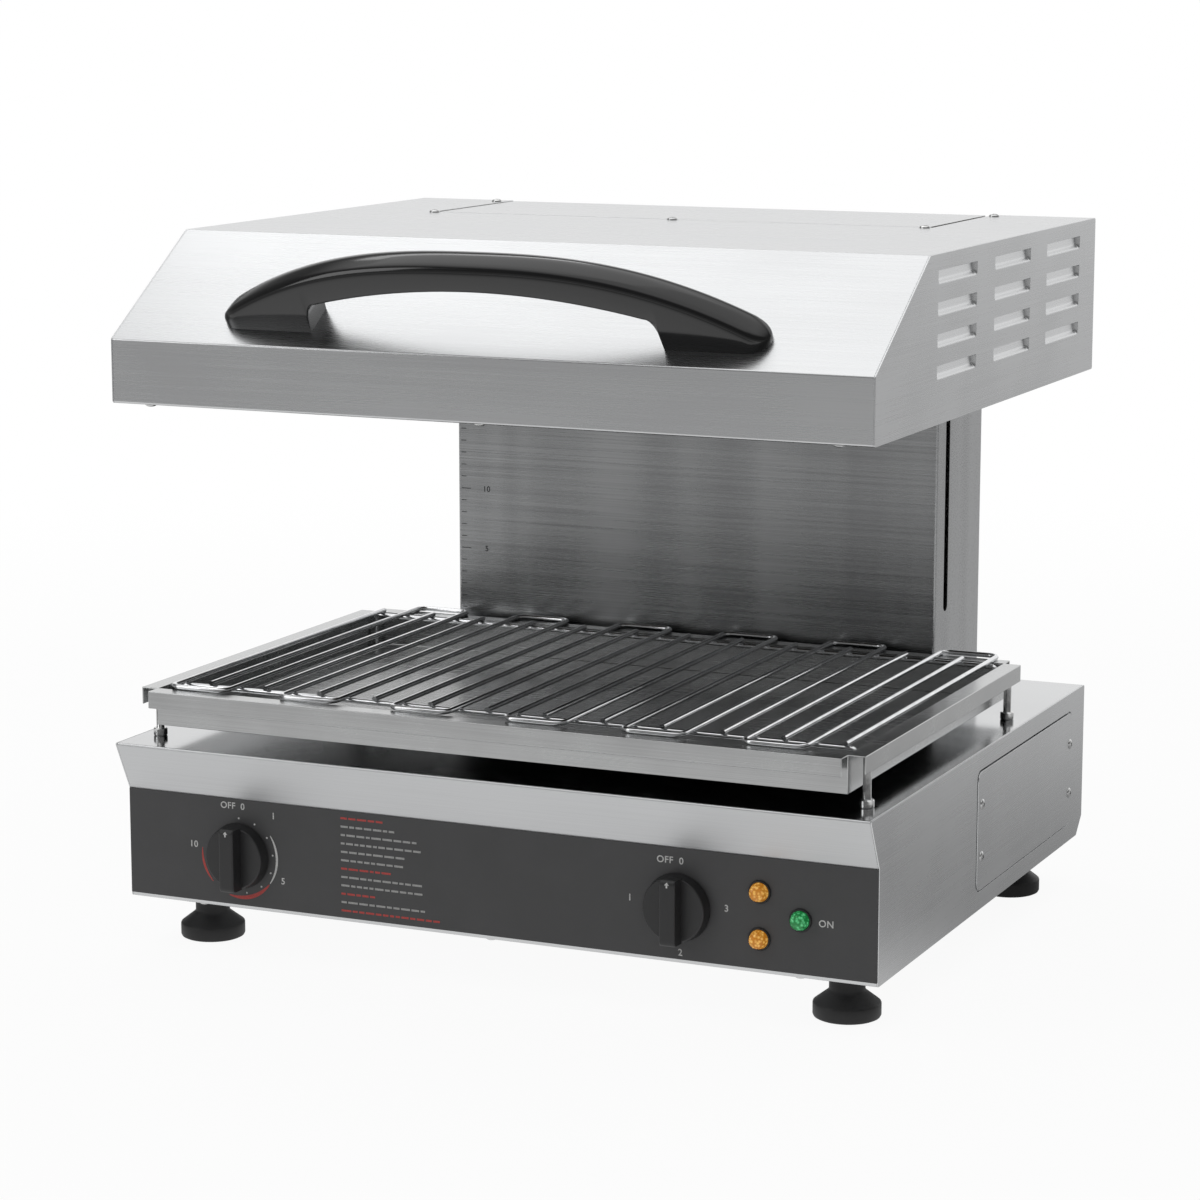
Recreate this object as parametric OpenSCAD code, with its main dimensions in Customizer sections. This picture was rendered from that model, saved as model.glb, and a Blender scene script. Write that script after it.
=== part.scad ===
// Lift-top electric salamander grill. A fixed base carries a guide column; the heater hood slides
// up and down the column above a lift-off drip pan with a wire grid.
// Millimetres, +Z up, the front faces -Y. Lengths along Y are measured back from the front lip
// of the base, heights from the table, and home() moves everything to the middle of the footprint.

/* [Base] */
// Width over the side panels
base_w = 600; // [580:2:660]
// Depth from the front lip to the rear face
base_d = 506; // [470:2:540]
// Height of the top of the base above the table
base_top = 161; // [158:1:165]
// Height of the underside of the base above the table
base_bottom = 39; // [34:1:42]
// How far the fascia leans back from the lip to the control panel
fascia_rake = 18; // [14:1:24]
// Height of the leaning fascia
fascia_h = 38; // [30:1:42]
// Chamfer at the lower rear corner
rear_chamfer = 14; // [8:1:20]
// Thickness of the folded steel sheet
sheet = 1.2; // [1:0.1:1.5]
// Width of the folded hems and flanges
hem = 13; // [11:1:16]

/* [Side covers] */
// Distance of the cover from the rear face of the base
cover_back = 34; // [26:1:60]
// Length of the cover
cover_l = 240; // [200:5:250]
// Height of the underside of the cover opening
cover_z = 54; // [52:1:60]
// Height of the cover
cover_h = 92; // [80:1:94]
// Corner radius of the cover
cover_r = 8; // [4:1:12]
// Gap around the cover
cover_gap = 0.6; // [0.3:0.1:1]
// Ledge behind the edge of the cover
cover_ledge = 9; // [7:1:9]

/* [Controls] */
// Height of the knob and lamp row
control_z = 80; // [76:1:84]
// Thickness of the printed control panel
overlay_t = 0.8; // [0.6:0.1:1]
// Margin of the panel below the fascia and above the lower lip
overlay_margin = 3; // [2:0.5:5]
// Distance of the timer from the left side
timer_in = 95; // [80:5:150]
// Distance of the heat selector from the right side
selector_in = 150; // [145:5:200]
// Diameter of the knobs
knob_d = 50; // [40:1:54]
// Thickness of the knob disc
knob_disc = 9; // [7:0.5:11]
// Width of the grip bar on a knob
knob_bar_w = 12; // [9:0.5:15]
// Height of the grip bar above the disc
knob_bar_h = 11; // [8:0.5:14]
// Gap between a knob and the panel
knob_gap = 0.6; // [0.4:0.1:1]
// Diameter of the control shafts
shaft_d = 6; // [6:0.5:7]
// Running clearance of a shaft, on the radius
shaft_play = 0.05; // [0.02:0.01:0.1]
// Side of the square timer and switch bodies
control_body = 46; // [40:1:52]
// Depth of the timer and switch bodies
control_body_d = 36; // [30:1:50]
// Distance of the pair of zone lamps from the right side
lamp_in = 88; // [75:1:95]
// Distance of the power lamp beyond the pair
lamp_step = 30.6; // [24:0.2:36]
// Distance between the two zone lamps
lamp_pair = 34; // [24:1:40]
// Diameter of a lamp lens
lamp_d = 15; // [13:0.5:17]
// How far a lens stands out of the panel
lamp_h = 9; // [6:0.5:11]
// Diameter of a lamp barrel behind the panel
lamp_barrel_d = 11.8; // [10:0.2:12.4]
// Length of a lamp barrel
lamp_barrel_l = 28; // [20:1:36]

/* [Column] */
// Width of the guide column
column_w = 418; // [404:2:440]
// Depth of the guide column, which stands flush with the rear of the base
column_d = 110; // [106:1:116]
// How far the cap reaches in front of the column
cap_over = 30; // [16:1:32]
// How far the cap lies below the raised hood's top
cap_drop = 0.1; // [0.1:0.1:2]
// Depth of the folded front edge of the cap
cap_lip = 9; // [6:1:12]
// Distance of the arm slots behind the front of the column
slot_in = 20; // [19:0.5:22]
// Width of an arm slot
slot_w = 9.8; // [8.5:0.1:10]
// Height of the lower end of the slots
slot_bottom = 229; // [224:1:232]

/* [Hood] */
// Width of the hood
hood_w = 594.4; // [560:2:600]
// Height of the hood's lower edge when raised
hood_bottom = 416.5; // [412:0.5:424]
// Height of the upright front band
band_h = 47.5; // [44:0.5:56]
// Height of the hood
hood_h = 120; // [118:1:132]
// Distance from the lip to the front band
hood_y = 4; // [2:0.5:8]
// Length of the sloping front, seen from above
slope_d = 109.6; // [100:0.2:124]
// How far the hood reaches behind the base
hood_over = 8; // [4:1:18]
// Clear gap between the column and the hood
hood_gap = 1.5; // [1:0.1:2.5]
// How far the hood comes down
hood_travel = 185; // [120:1:186]

/* [Louvres] */
// Columns of louvres on each side
louvre_cols = 3; // [1:1:3]
// Rows of louvres on each side
louvre_rows = 4; // [1:1:4]
// Distance from the lip to the first column
louvre_y = 130.5; // [126:0.5:140]
// Length of a louvre
louvre_l = 86; // [60:1:96]
// Height of a louvre
louvre_h = 9.5; // [7:0.5:12]
// Depth of the scoop at its open upper edge
louvre_depth = 4; // [2.5:0.5:6]
// Distance from column to column
louvre_step_y = 127.5; // [110:0.5:128]
// Distance from row to row
louvre_step_z = 22.3; // [18:0.1:23]
// Height of the lowest louvre above the hood's lower edge
louvre_z = 32; // [30:1:36]

/* [Lift] */
// Diameter of the guide rods
rod_d = 12; // [10:1:14]
// Place of the guide rods from the centre line
rod_x = 150; // [130:2:154]
// Distance of the rods and gas springs behind the front of the column
rod_in = 60; // [56:1:64]
// Running clearance of the bushes on the rods, on the radius
bush_play = 0.05; // [0.02:0.01:0.1]
// Wall of a guide bush
bush_wall = 3; // [2:0.5:4]
// Outer diameter of a rod boss on the carriage
boss_d = 28; // [26:1:32]
// Place of the gas springs from the centre line
strut_x = 90; // [60:2:100]
// Diameter of a gas spring tube
strut_d = 18; // [15:1:22]
// Wall of a gas spring tube
strut_wall = 2; // [1.5:0.5:3]
// Diameter of a gas spring rod
strut_rod_d = 8; // [6:1:10]
// Height of the carriage and of the arms
arm_h = 60; // [50:1:64]
// Thickness of an arm in its slot
arm_t = 8; // [7:0.2:8]
// Height of the arms above the hood's lower edge
arm_z = 3.5; // [2.5:0.5:8]

/* [Handle] */
// Length of the handle
handle_l = 426; // [360:2:460]
// Height of the handle above the slope
handle_h = 59; // [48:1:66]
// Width of the handle
handle_w = 28; // [22:1:32]
// Thickness of the grip at its middle
handle_grip = 16.5; // [12:0.5:20]
// Clear height beside the feet
handle_foot_h = 26; // [18:1:30]
// Length of a foot along the slope sheet
handle_foot_l = 75; // [50:1:90]
// Distance up the slope from the lower fold to the handle
handle_up = 17.5; // [12:0.5:30]

/* [Heating] */
// Diameter of the tubular elements
element_d = 8; // [6.5:0.5:10]
// Number of legs of each element
element_legs = 6; // [4:2:6]
// Distance between the legs of an element
element_step = 44; // [36:1:46]
// Height of the element axes above the hood's lower edge
element_z = 19; // [17:1:24]
// Inner height of the reflector
reflector_h = 40; // [38:1:42]
// Thickness of the insulation blanket
blanket_t = 20; // [12:1:22]

/* [Drip pan] */
// Distance of the pan's well from the sides of the base
pan_in = 25; // [24:1:50]
// Distance from the lip to the well
pan_y = 21; // [18:1:26]
// Clear distance from the well to the column
pan_gap = 25; // [24:1:60]
// Height of the rim above the base
rim_h = 40; // [36:1:46]
// Depth of the well
pan_h = 28; // [24:1:33]
// Thickness of the pan's sheet
pan_t = 1; // [0.8:0.1:1.5]
// Width of the side flanges
side_flange = 13; // [12:0.5:16]
// Width of the front and rear flanges
end_flange = 13; // [8:0.5:15]
// Height of the flange lips
flange_lip = 13; // [8:1:16]
// How far the grid's rear loops reach past the well
grid_over = 17; // [10:1:18]
// How far its front loops reach past the well
grid_under = -2; // [-6:0.5:6]
// Least distance from the well's side to the outermost wires
grid_side = 10; // [10:0.5:24]

/* [Wire grid] */
// Diameter of the grid wires
wire_d = 4; // [3:0.5:5]
// Number of long wires, a multiple of four
wire_n = 24; // [8:4:24]
// Reach of a closed loop past the wires between
loop_reach = 21; // [16:1:32]
// Corner radius of a loop
loop_r = 8; // [6:0.5:10]
// Weld depth where two wires cross
weld = 0.4; // [0.2:0.1:0.8]

/* [Support pins] */
// Distance of the front pins behind the front of the well
pin_front = 17; // [10:1:80]
// Distance of the rear pins in front of the back of the well
pin_rear = 17; // [6:1:40]
// Diameter of a pin
pin_d = 6; // [5:0.5:7]
// Diameter of the collar at the foot of a pin
collar_d = 10.5; // [9:0.5:12]
// Height of the collar
collar_h = 6; // [4:0.5:8]

/* [Feet] */
// Distance of the feet from the sides of the base
foot_in = 41; // [35:1:70]
// Distance from the lip to the front feet
foot_y = 69; // [60:1:90]
// Distance of the rear feet from the rear face
foot_back = 62; // [52:1:100]
// Largest diameter of a foot
foot_d = 49; // [44:1:60]
// Diameter of the neck of a foot
neck_d = 26; // [22:0.5:32]
// Height of the upright rim of a foot
foot_rim = 11.5; // [8:0.5:14]
// Height at which the neck of a foot begins
foot_cone = 19.5; // [17:0.5:24]
// Height of the lock nut
nut_h = 3.6; // [3:0.1:4]
// Diameter of the foot studs
stud_d = 10; // [8:1:12]
// Length of stud above the underside of the base
stud_l = 22; // [16:1:30]

/* [Fasteners] */
// Head diameter of the cover and hood screws
screw_head_d = 7; // [6:0.5:7.5]
// Head height of the screws
screw_head_h = 2.2; // [1.6:0.1:2.4]
// Shank diameter of the screws
screw_d = 3.6; // [3:0.1:4]
// Length of the shanks
screw_l = 6; // [5:0.5:7]

/* [Hidden] */
$fn = 48;
eps = 0.01;

// Overall box: the handle reaches furthest forward and the hood furthest back
slope_h = hood_h - band_h;
slope_a = atan2(slope_h, slope_d);
slope_z = hood_bottom + band_h;
hood_back = base_d + hood_over;
handle_front = hood_y + handle_up * cos(slope_a) - handle_h * sin(slope_a);
mid_y = (handle_front + hood_back) / 2;

// Base
inner_w = base_w - 2 * sheet;
panel_y = fascia_rake + overlay_t;
fascia_z = base_top - fascia_h;
wall_y = panel_y + sheet;
plate_z = base_bottom + sheet;
plate_t = 1.5;
plate_gap = 0.8;
base_outline = [[panel_y, base_bottom], [base_d - rear_chamfer, base_bottom],
    [base_d, base_bottom + rear_chamfer], [base_d, base_top], [0, base_top], [panel_y, fascia_z]];
base_screw_x = base_w / 2 - 60;
base_screw_edge = 6;

// Side covers
cover_y = base_d - cover_back - cover_l;
cover_screw_ys = [cover_y + 10, cover_y + cover_l - 6];
cover_screw_step = 40;

// Column
column_y = base_d - column_d;
cap_y = column_y - cap_over;
slot_y = column_y + slot_in;
column_top = hood_bottom + hood_h - cap_drop - sheet;
column_back_y = base_d - sheet;
column_in_w = column_w - 2 * sheet;
well_front = column_y + sheet + hem + 1;
well_back = column_back_y - sheet - hem - 1;
well_w = column_in_w - 2 * hem - 4;
slot_top = hood_bottom + arm_z + arm_h + 14;
back_screw_z = base_top + 40;
back_screw_step = 145;
column_foot_in = 78;
column_foot_x = column_w / 2 - column_foot_in;

// Hood
hood_in_w = hood_w - 2 * sheet;
hood_top = hood_bottom + hood_h;
hood_outline = [[hood_y, hood_bottom], [hood_back, hood_bottom], [hood_back, hood_top],
    [hood_y + slope_d, hood_top], [hood_y, slope_z]];
notch_w = column_w + 2 * hood_gap;
notch_y = cap_y - hood_gap;
shroud_z = hood_bottom + 2 * sheet;
shroud_top = hood_top - sheet;
frame_z = hood_bottom + sheet;
window_in = 35.2;
window_w = hood_w - 2 * window_in;
window_y = 34;
window_back = notch_y - 24;
window_lap = 8;
reflector_w = window_w + 2 * window_lap;
reflector_y = window_y - window_lap;
reflector_back = window_back + window_lap;
reflector_z = frame_z + sheet;
reflector_top = reflector_z + reflector_h;
blanket_y = 48;
top_screw_y = notch_y - 8;
side_screw_y = hood_back - 20;
bottom_screw_y = hood_y + sheet + 7;
bottom_screw_x = hood_w / 2 - 28.2;
bottom_side_x = hood_w / 2 - 8.2;
bottom_side_step = 230;
bottom_side_back = 34;
bottom_side_ys = [hood_back - bottom_side_back - bottom_side_step, hood_back - bottom_side_back];

// Lift
rod_y = column_y + rod_in;
arm_bottom = hood_bottom + arm_z;
arm_y = slot_y + (slot_w - arm_t) / 2;
arm_play = 0.5;
web_y = arm_y + arm_t;
web_t = 4;
carriage_w = column_in_w - 8;
arm_in_x = rod_x + 8;
arm_plate_t = 4;
arm_plate_l = 48;
arm_plate_y = column_y;
arm_bolt_ys = [arm_plate_y + 8, arm_plate_y + arm_plate_l - 8];
arm_bolt_zs = [arm_bottom + 12, arm_bottom + arm_h - 12];
web_bolt_xs = [arm_in_x + 12, arm_in_x + 32];
shroud_x = notch_w / 2 + sheet;
foot_bar_z = plate_z + plate_t;
foot_bar_t = 6;
foot_bar_d = 44;
head_t = 6;
head_d = 36;
head_flange = 18;
head_z = column_top - 22;
lug_t = 6;
lug_w = 28;
lug_z = arm_bottom + arm_h - lug_t;
tube_top = lug_z - hood_travel - 16;
tube_z = foot_bar_z + foot_bar_t;
strut_gland = 6;
tube_l = tube_top - tube_z - strut_gland - strut_wall;
piston_h = 8;
piston_z = tube_top - strut_gland - piston_h - 6;
bush_d = rod_d + 2 * bush_wall;
bush_l = 20;

// Pan and grid
pan_w = base_w - 2 * pan_in;
pan_l = column_y - pan_gap - pan_y;
rim_z = base_top + rim_h;
pan_floor = rim_z - pan_h;
pan_back = pan_y + pan_l;
flange_x = pan_w / 2 + side_flange;
pin_play = 1;
pin_x = flange_x - pan_t - pin_play - pin_d / 2;
pin_ys = [pan_y + pin_front, pan_back - pin_rear];
wire_step = floor(10 * (pan_w - 2 * grid_side) / (wire_n - 1)) / 10; // round, so that loops close exactly
first_wire = -wire_step * (wire_n - 1) / 2;
wire_z = rim_z + wire_d / 2;
cross_z = wire_z - wire_d + weld;
grid_y = pan_y - grid_under;
grid_back = pan_back + grid_over;
short_front = grid_y + loop_reach;
short_back = grid_back - loop_reach;
cross_ys = [short_front + wire_d, short_back - wire_d];
leg_gap = 1.5;
leg_lift = 0.3;
leg_x = first_wire - wire_d - leg_gap;
leg_z = pan_floor + pan_t + leg_lift;

// Feet
foot_x = base_w / 2 - foot_in;
foot_ys = [foot_y, base_d - foot_back];
foot_edge = 2.2;
neck_top = base_bottom + sheet - nut_h - 0.3;
weld_nut_h = 8;

// Controls
timer_x = timer_in - base_w / 2;
selector_x = base_w / 2 - selector_in;
lamp_x = base_w / 2 - lamp_in;
knob_back = fascia_rake - knob_gap;
shaft_in = 18;
neck_play = 0.2;
control_neck_d = shaft_d + 4;
control_screw_x = 14;
control_screw_l = 9;
control_screw_head = 1.4;

// Mains supply
terminal_x = base_w / 2 - 64;
terminal_in = 216;
terminal_y = base_d - terminal_in;
terminal_n = 5;
terminal_pitch = 14;
terminal_w = 44;
terminal_h = 22;
gland_x = base_w / 2 - 60;
gland_z = 90;
gland_d = 18;
gland_bore = 10;
gland_in = 14;
gland_out = hood_back - base_d;

// Elements and handle
element_span = (element_legs - 1) * element_step;
element_front = window_y + 4 + element_step / 2;
element_back = window_back - 4 - element_step / 2;
element_end = reflector_back + 6;
element_axis = hood_bottom + element_z;
hanger_t = 1.5;
hanger_in = 80;
hanger_ys = [window_y + hanger_in, window_back - hanger_in];
hanger_z = element_axis - element_d / 2 - 2;
leg_in = handle_l / 2 - handle_foot_l;
under_mid = handle_h - handle_grip;
handle_screw_x = handle_l / 2 - 40;
handle_screw_l = 14;

// Moves a piece from the lip of the base to the middle of the footprint
module home() translate([0, -mid_y, 0]) children();

// Extrudes an outline drawn in Y and Z along X, centred
module along_x(len) translate([-len / 2, 0, 0]) rotate([90, 0, 90]) linear_extrude(len) children();

// Points the Z axis of its children to the rear, to the front, to one side or down
module to_rear(p) translate(p) rotate([-90, 0, 0]) children();
module to_front(p) translate(p) rotate([90, 0, 0]) children();
module to_side(p, s) translate(p) rotate([0, s * 90, 0]) children();
module to_floor(p) translate(p) rotate([180, 0, 0]) children();

// Puts its children on the sloping front: X across, Y up the slope, Z out of it
module on_slope() translate([0, hood_y, slope_z]) rotate([slope_a, 0, 0]) children();

// Offsets a closed outline inwards by t; its points run anticlockwise
function unit(v) = v / norm(v);
function inward(a, b) = let (d = unit(b - a)) [-d[1], d[0]];
function inset_corner(a, b, c, t) =
    let (m = inward(a, b), n = inward(b, c)) b + t * (m + n) / (1 + m * n);
function inset(p, t) = let (n = len(p))
    [for (i = [0:n - 1]) inset_corner(p[(i + n - 1) % n], p[i], p[(i + 1) % n], t)];

// A rectangle with round corners, drawn from its lower left corner
module rounded(w, h, r) {
    translate([r, 0]) square([w - 2 * r, h]);
    translate([0, r]) square([w, h - 2 * r]);
    for (x = [r, w - r], y = [r, h - r]) translate([x, y]) circle(r);
}

// A screw: its head stands on z = 0 and its shank goes down
module screw(head_d = screw_head_d) {
    cylinder(d = head_d, h = screw_head_h);
    translate([0, 0, -screw_l]) cylinder(d = screw_d, h = screw_l + eps);
}

// The hole that such a screw goes through
module screw_hole(depth = screw_l) {
    translate([0, 0, -depth - 1]) cylinder(d = screw_d + 0.4, h = depth + 2);
}

// Places of the fasteners
module at_cover_screws(s)
    for (y = cover_screw_ys, z = [-0.5, 0.5])
        to_side([s * base_w / 2, y, cover_z + cover_h / 2 + z * cover_screw_step], s) children();
module at_base_screws()
    for (x = [-1, 0, 1], y = [wall_y + base_screw_edge, base_d - rear_chamfer - base_screw_edge])
        to_floor([x * base_screw_x, y, base_bottom]) children();
module at_foot_holes() for (x = [-foot_x, foot_x], y = foot_ys) translate([x, y, 0]) children();
module at_pins() for (x = [-pin_x, pin_x], y = pin_ys) translate([x, y, base_top]) children();
module at_back_screws() for (x = [-1, 1], i = [0:2])
    to_rear([x * (column_in_w / 2 - hem / 2), column_back_y + sheet, back_screw_z + i * back_screw_step])
        children();
module at_column_feet() for (x = [-1, 0, 1])
    translate([x * column_foot_x, column_y + sheet + hem / 2, base_top + sheet]) children();
module at_top_screws() {
    for (x = [-1, 0, 1]) translate([x * column_w / 2, top_screw_y, hood_top]) children();
    for (x = [-1, 1]) translate([x * (shroud_x + 8), side_screw_y, hood_top]) children();
}
module at_bottom_screws() {
    for (x = [-1, 0, 1]) to_floor([x * bottom_screw_x, bottom_screw_y, hood_bottom]) children();
    for (x = [-1, 1], y = bottom_side_ys) to_floor([x * bottom_side_x, y, hood_bottom]) children();
}
module at_control_screws() for (x = [timer_x, selector_x], s = [-1, 1])
    to_rear([x + s * control_screw_x, fascia_rake, control_z]) children();
module at_lamps() for (p = [[0, lamp_pair / 2], [0, -lamp_pair / 2], [lamp_step, 0]])
    to_rear([lamp_x + p[0], fascia_rake, control_z + p[1] + 1]) children();
module at_arm_bolts() for (s = [-1, 1], y = arm_bolt_ys, z = arm_bolt_zs)
    to_side([s * (shroud_x + arm_plate_t), y, z], s) children();
module at_web_bolts() for (s = [-1, 1], x = web_bolt_xs, z = arm_bolt_zs)
    to_rear([s * x, web_y + web_t, z]) children();
module at_handle_screws() for (s = [-1, 1]) on_slope()
    translate([s * handle_screw_x, handle_up + handle_w / 2, -sheet]) rotate([180, 0, 0]) children();

// The holes of the controls, cut through both the panel and the wall behind it
module control_holes() {
    for (x = [timer_x, selector_x]) to_rear([x, 0, control_z])
        cylinder(d = control_neck_d + 2 * neck_play, h = wall_y + 1);
    at_lamps() cylinder(d = lamp_barrel_d + 0.2, h = wall_y, center = true);
    at_control_screws() control_screw(0.2);
}
module control_screw(play = 0) {
    cylinder(d = screw_d + 2 * play, h = control_screw_l);
    cylinder(d1 = screw_d + 2 * (control_screw_head + play), d2 = screw_d + 2 * play, h = control_screw_head);
}

// ---- Base ----

module base_shell() color("silver") home() difference() {
    along_x(inner_w) difference() {
        polygon(base_outline);
        polygon(inset(base_outline, sheet));
        translate([wall_y + hem, base_bottom - 1])
            square([base_d - rear_chamfer - sheet - 2 * hem - wall_y, sheet + 2]);
    }
    translate([-well_w / 2, well_front, base_top - sheet - 1])
        cube([well_w, well_back - well_front, sheet + 2]);
    control_holes();
    at_base_screws() screw_hole();
    at_pins() translate([0, 0, -sheet - 1]) cylinder(d = pin_d + 0.2, h = sheet + 2);
    at_column_feet() screw_hole();
    to_rear([gland_x, base_d - sheet - 1, gland_z]) cylinder(d = gland_d + 0.3, h = sheet + 2);
}

// The ledge behind the opening carries the flush access cover
module side_panel(s) {
    x = s > 0 ? base_w / 2 - sheet : -base_w / 2;
    ledge_x = s > 0 ? x - sheet : x + sheet;
    difference() {
        union() {
            translate([x, 0, 0]) rotate([90, 0, 90]) linear_extrude(sheet) difference() {
                polygon(base_outline);
                translate([cover_y, cover_z]) rounded(cover_l, cover_h, cover_r);
            }
            translate([ledge_x, cover_y - cover_ledge, cover_z - cover_ledge]) rotate([90, 0, 90])
                linear_extrude(sheet) difference() {
                    square([cover_l + 2 * cover_ledge, cover_h + 2 * cover_ledge]);
                    translate([cover_ledge * 2.2, cover_ledge * 2.2])
                        square([cover_l - 2.4 * cover_ledge, cover_h - 2.4 * cover_ledge]);
                }
        }
        at_cover_screws(s) screw_hole();
    }
}
module side_panel_left() color("silver") home() side_panel(-1);
module side_panel_right() color("silver") home() side_panel(1);

module side_cover(s) difference() {
    translate([s > 0 ? base_w / 2 - sheet : -base_w / 2, cover_y + cover_gap, cover_z + cover_gap])
        rotate([90, 0, 90]) linear_extrude(sheet)
            rounded(cover_l - 2 * cover_gap, cover_h - 2 * cover_gap, cover_r - cover_gap);
    at_cover_screws(s) screw_hole();
}
module side_cover_left() color("lightgray") home() side_cover(-1);
module side_cover_right() color("lightgray") home() side_cover(1);

module cover_screws() color("gainsboro") home() for (s = [-1, 1]) at_cover_screws(s) screw();

module bottom_plate() color("silver") home() difference() {
    translate([-inner_w / 2 + plate_gap, wall_y + plate_gap, plate_z])
        cube([inner_w - 2 * plate_gap, base_d - rear_chamfer - sheet - wall_y - 2 * plate_gap, plate_t]);
    at_base_screws() screw_hole();
    at_foot_holes() translate([0, 0, plate_z - 1]) cylinder(r = stud_d / 2 + 0.3, h = plate_t + 2);
}

module base_screws() color("gainsboro") home() at_base_screws() screw();

module control_panel() color([0.2, 0.2, 0.2]) home() difference() {
    translate([-base_w / 2 + 0.6, fascia_rake, base_bottom + overlay_margin])
        cube([base_w - 1.2, overlay_t, fascia_z - base_bottom - overlay_margin]);
    control_holes();
}

// Timer and switch bodies hang behind the panel on a threaded neck
module control_body(x) difference() {
    union() {
        translate([x - control_body / 2, wall_y, control_z - control_body / 2])
            cube([control_body, control_body_d, control_body]);
        to_rear([x, fascia_rake, control_z]) cylinder(d = control_neck_d, h = wall_y - fascia_rake + eps);
    }
    to_rear([x, 0, control_z]) cylinder(r = shaft_d / 2 + shaft_play, h = wall_y + shaft_in + 0.5);
    at_control_screws() cylinder(d = screw_d, h = control_screw_l);
}
module timer_body() color("ivory") home() control_body(timer_x);
module selector_body() color("ivory") home() control_body(selector_x);

module control_screws() color("gray") home() at_control_screws() control_screw();

// A knob is a disc with a grip bar across it, bored for its shaft
module knob(x) difference() {
    union() {
        to_front([x, knob_back, control_z]) cylinder(d = knob_d, h = knob_disc);
        intersection() {
            to_front([x, knob_back - knob_disc + 1, control_z]) cylinder(d = knob_d, h = knob_bar_h + 1);
            translate([x - knob_bar_w / 2, knob_back - knob_disc - knob_bar_h, control_z - knob_d / 2])
                cube([knob_bar_w, knob_bar_h + 1, knob_d]);
        }
    }
    to_front([x, knob_back + 1, control_z]) cylinder(d = shaft_d, h = knob_disc + 1);
}
module timer_knob() color([0.12, 0.12, 0.12]) home() knob(timer_x);
module selector_knob() color([0.12, 0.12, 0.12]) home() knob(selector_x);

module control_shaft(x) to_rear([x, knob_back - knob_disc, control_z])
    cylinder(d = shaft_d, h = knob_disc + knob_gap + wall_y - fascia_rake + shaft_in);
module timer_shaft() color("gainsboro") home() control_shaft(timer_x);
module selector_shaft() color("gainsboro") home() control_shaft(selector_x);

module lamp_barrels() color([0.15, 0.15, 0.15]) home() at_lamps()
    cylinder(d = lamp_barrel_d, h = lamp_barrel_l);

// A lens is a short cone with a domed front, standing on the panel
module lamp_lens(p) to_front([p[0], fascia_rake, control_z + p[1] + 1]) rotate_extrude()
    polygon([[0, 0], [lamp_d / 2, 0], [lamp_d / 2, 3], [lamp_d / 2 - 1.4, lamp_h - 2.4],
        [lamp_d / 2 - 3.4, lamp_h - 0.7], [0, lamp_h]]);
module lamp_lens_upper() color("orange") home() lamp_lens([lamp_x, lamp_pair / 2]);
module lamp_lens_lower() color("orange") home() lamp_lens([lamp_x, -lamp_pair / 2]);
module lamp_lens_power() color("seagreen") home() lamp_lens([lamp_x + lamp_step, 0]);

// Mains terminals stand on the floor of the base behind the right cover
module terminal_block() color("ivory") home() translate([terminal_x, terminal_y, foot_bar_z]) difference() {
    translate([-terminal_w / 2, 0, 0]) cube([terminal_w, terminal_n * terminal_pitch, terminal_h]);
    for (i = [0:terminal_n - 1]) translate([0, (i + 0.5) * terminal_pitch, terminal_h / 2])
        cylinder(d = 8, h = terminal_h);
}

// Strain relief bush in the rear wall, where a supply cord would enter
module cable_gland() color([0.12, 0.12, 0.12]) home() to_rear([gland_x, base_d, gland_z]) rotate_extrude()
    polygon([[gland_bore / 2, -gland_in], [gland_d / 2, -gland_in], [gland_d / 2, 0], [gland_d / 2 + 4, 0],
        [gland_d / 2 + 4, 3], [gland_d / 2 - 1, gland_out], [gland_bore / 2, gland_out]]);

module support_pins() color("gainsboro") home() at_pins() {
    cylinder(d = collar_d, h = collar_h);
    translate([0, 0, -sheet - 6]) cylinder(d = pin_d, h = rim_h - pan_t + sheet + 6);
}

// ---- Feet ----

module foot(x, y) translate([x, y, 0]) {
    rotate_extrude() polygon([[0, 0], [foot_d / 2 - foot_edge, 0], [foot_d / 2, foot_edge],
        [foot_d / 2, foot_rim - 1], [foot_d / 2 - 1, foot_rim], [neck_d / 2, foot_cone],
        [neck_d / 2, neck_top], [0, neck_top]]);
    translate([0, 0, neck_top - eps]) cylinder(d = stud_d * 2, h = nut_h, $fn = 6);
    translate([0, 0, neck_top]) cylinder(d = stud_d, h = base_bottom + stud_l - neck_top);
}
module foot_front_left() color([0.14, 0.14, 0.14]) home() foot(-foot_x, foot_ys[0]);
module foot_front_right() color([0.14, 0.14, 0.14]) home() foot(foot_x, foot_ys[0]);
module foot_rear_left() color([0.14, 0.14, 0.14]) home() foot(-foot_x, foot_ys[1]);
module foot_rear_right() color([0.14, 0.14, 0.14]) home() foot(foot_x, foot_ys[1]);

// Weld nuts that take the foot studs
module foot_nuts() color("gray") home() at_foot_holes() translate([0, 0, foot_bar_z]) difference() {
    cylinder(d = stud_d * 2, h = weld_nut_h, $fn = 6);
    translate([0, 0, -1]) cylinder(r = stud_d / 2 + shaft_play, h = weld_nut_h + 2);
}

// ---- Column ----

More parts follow.
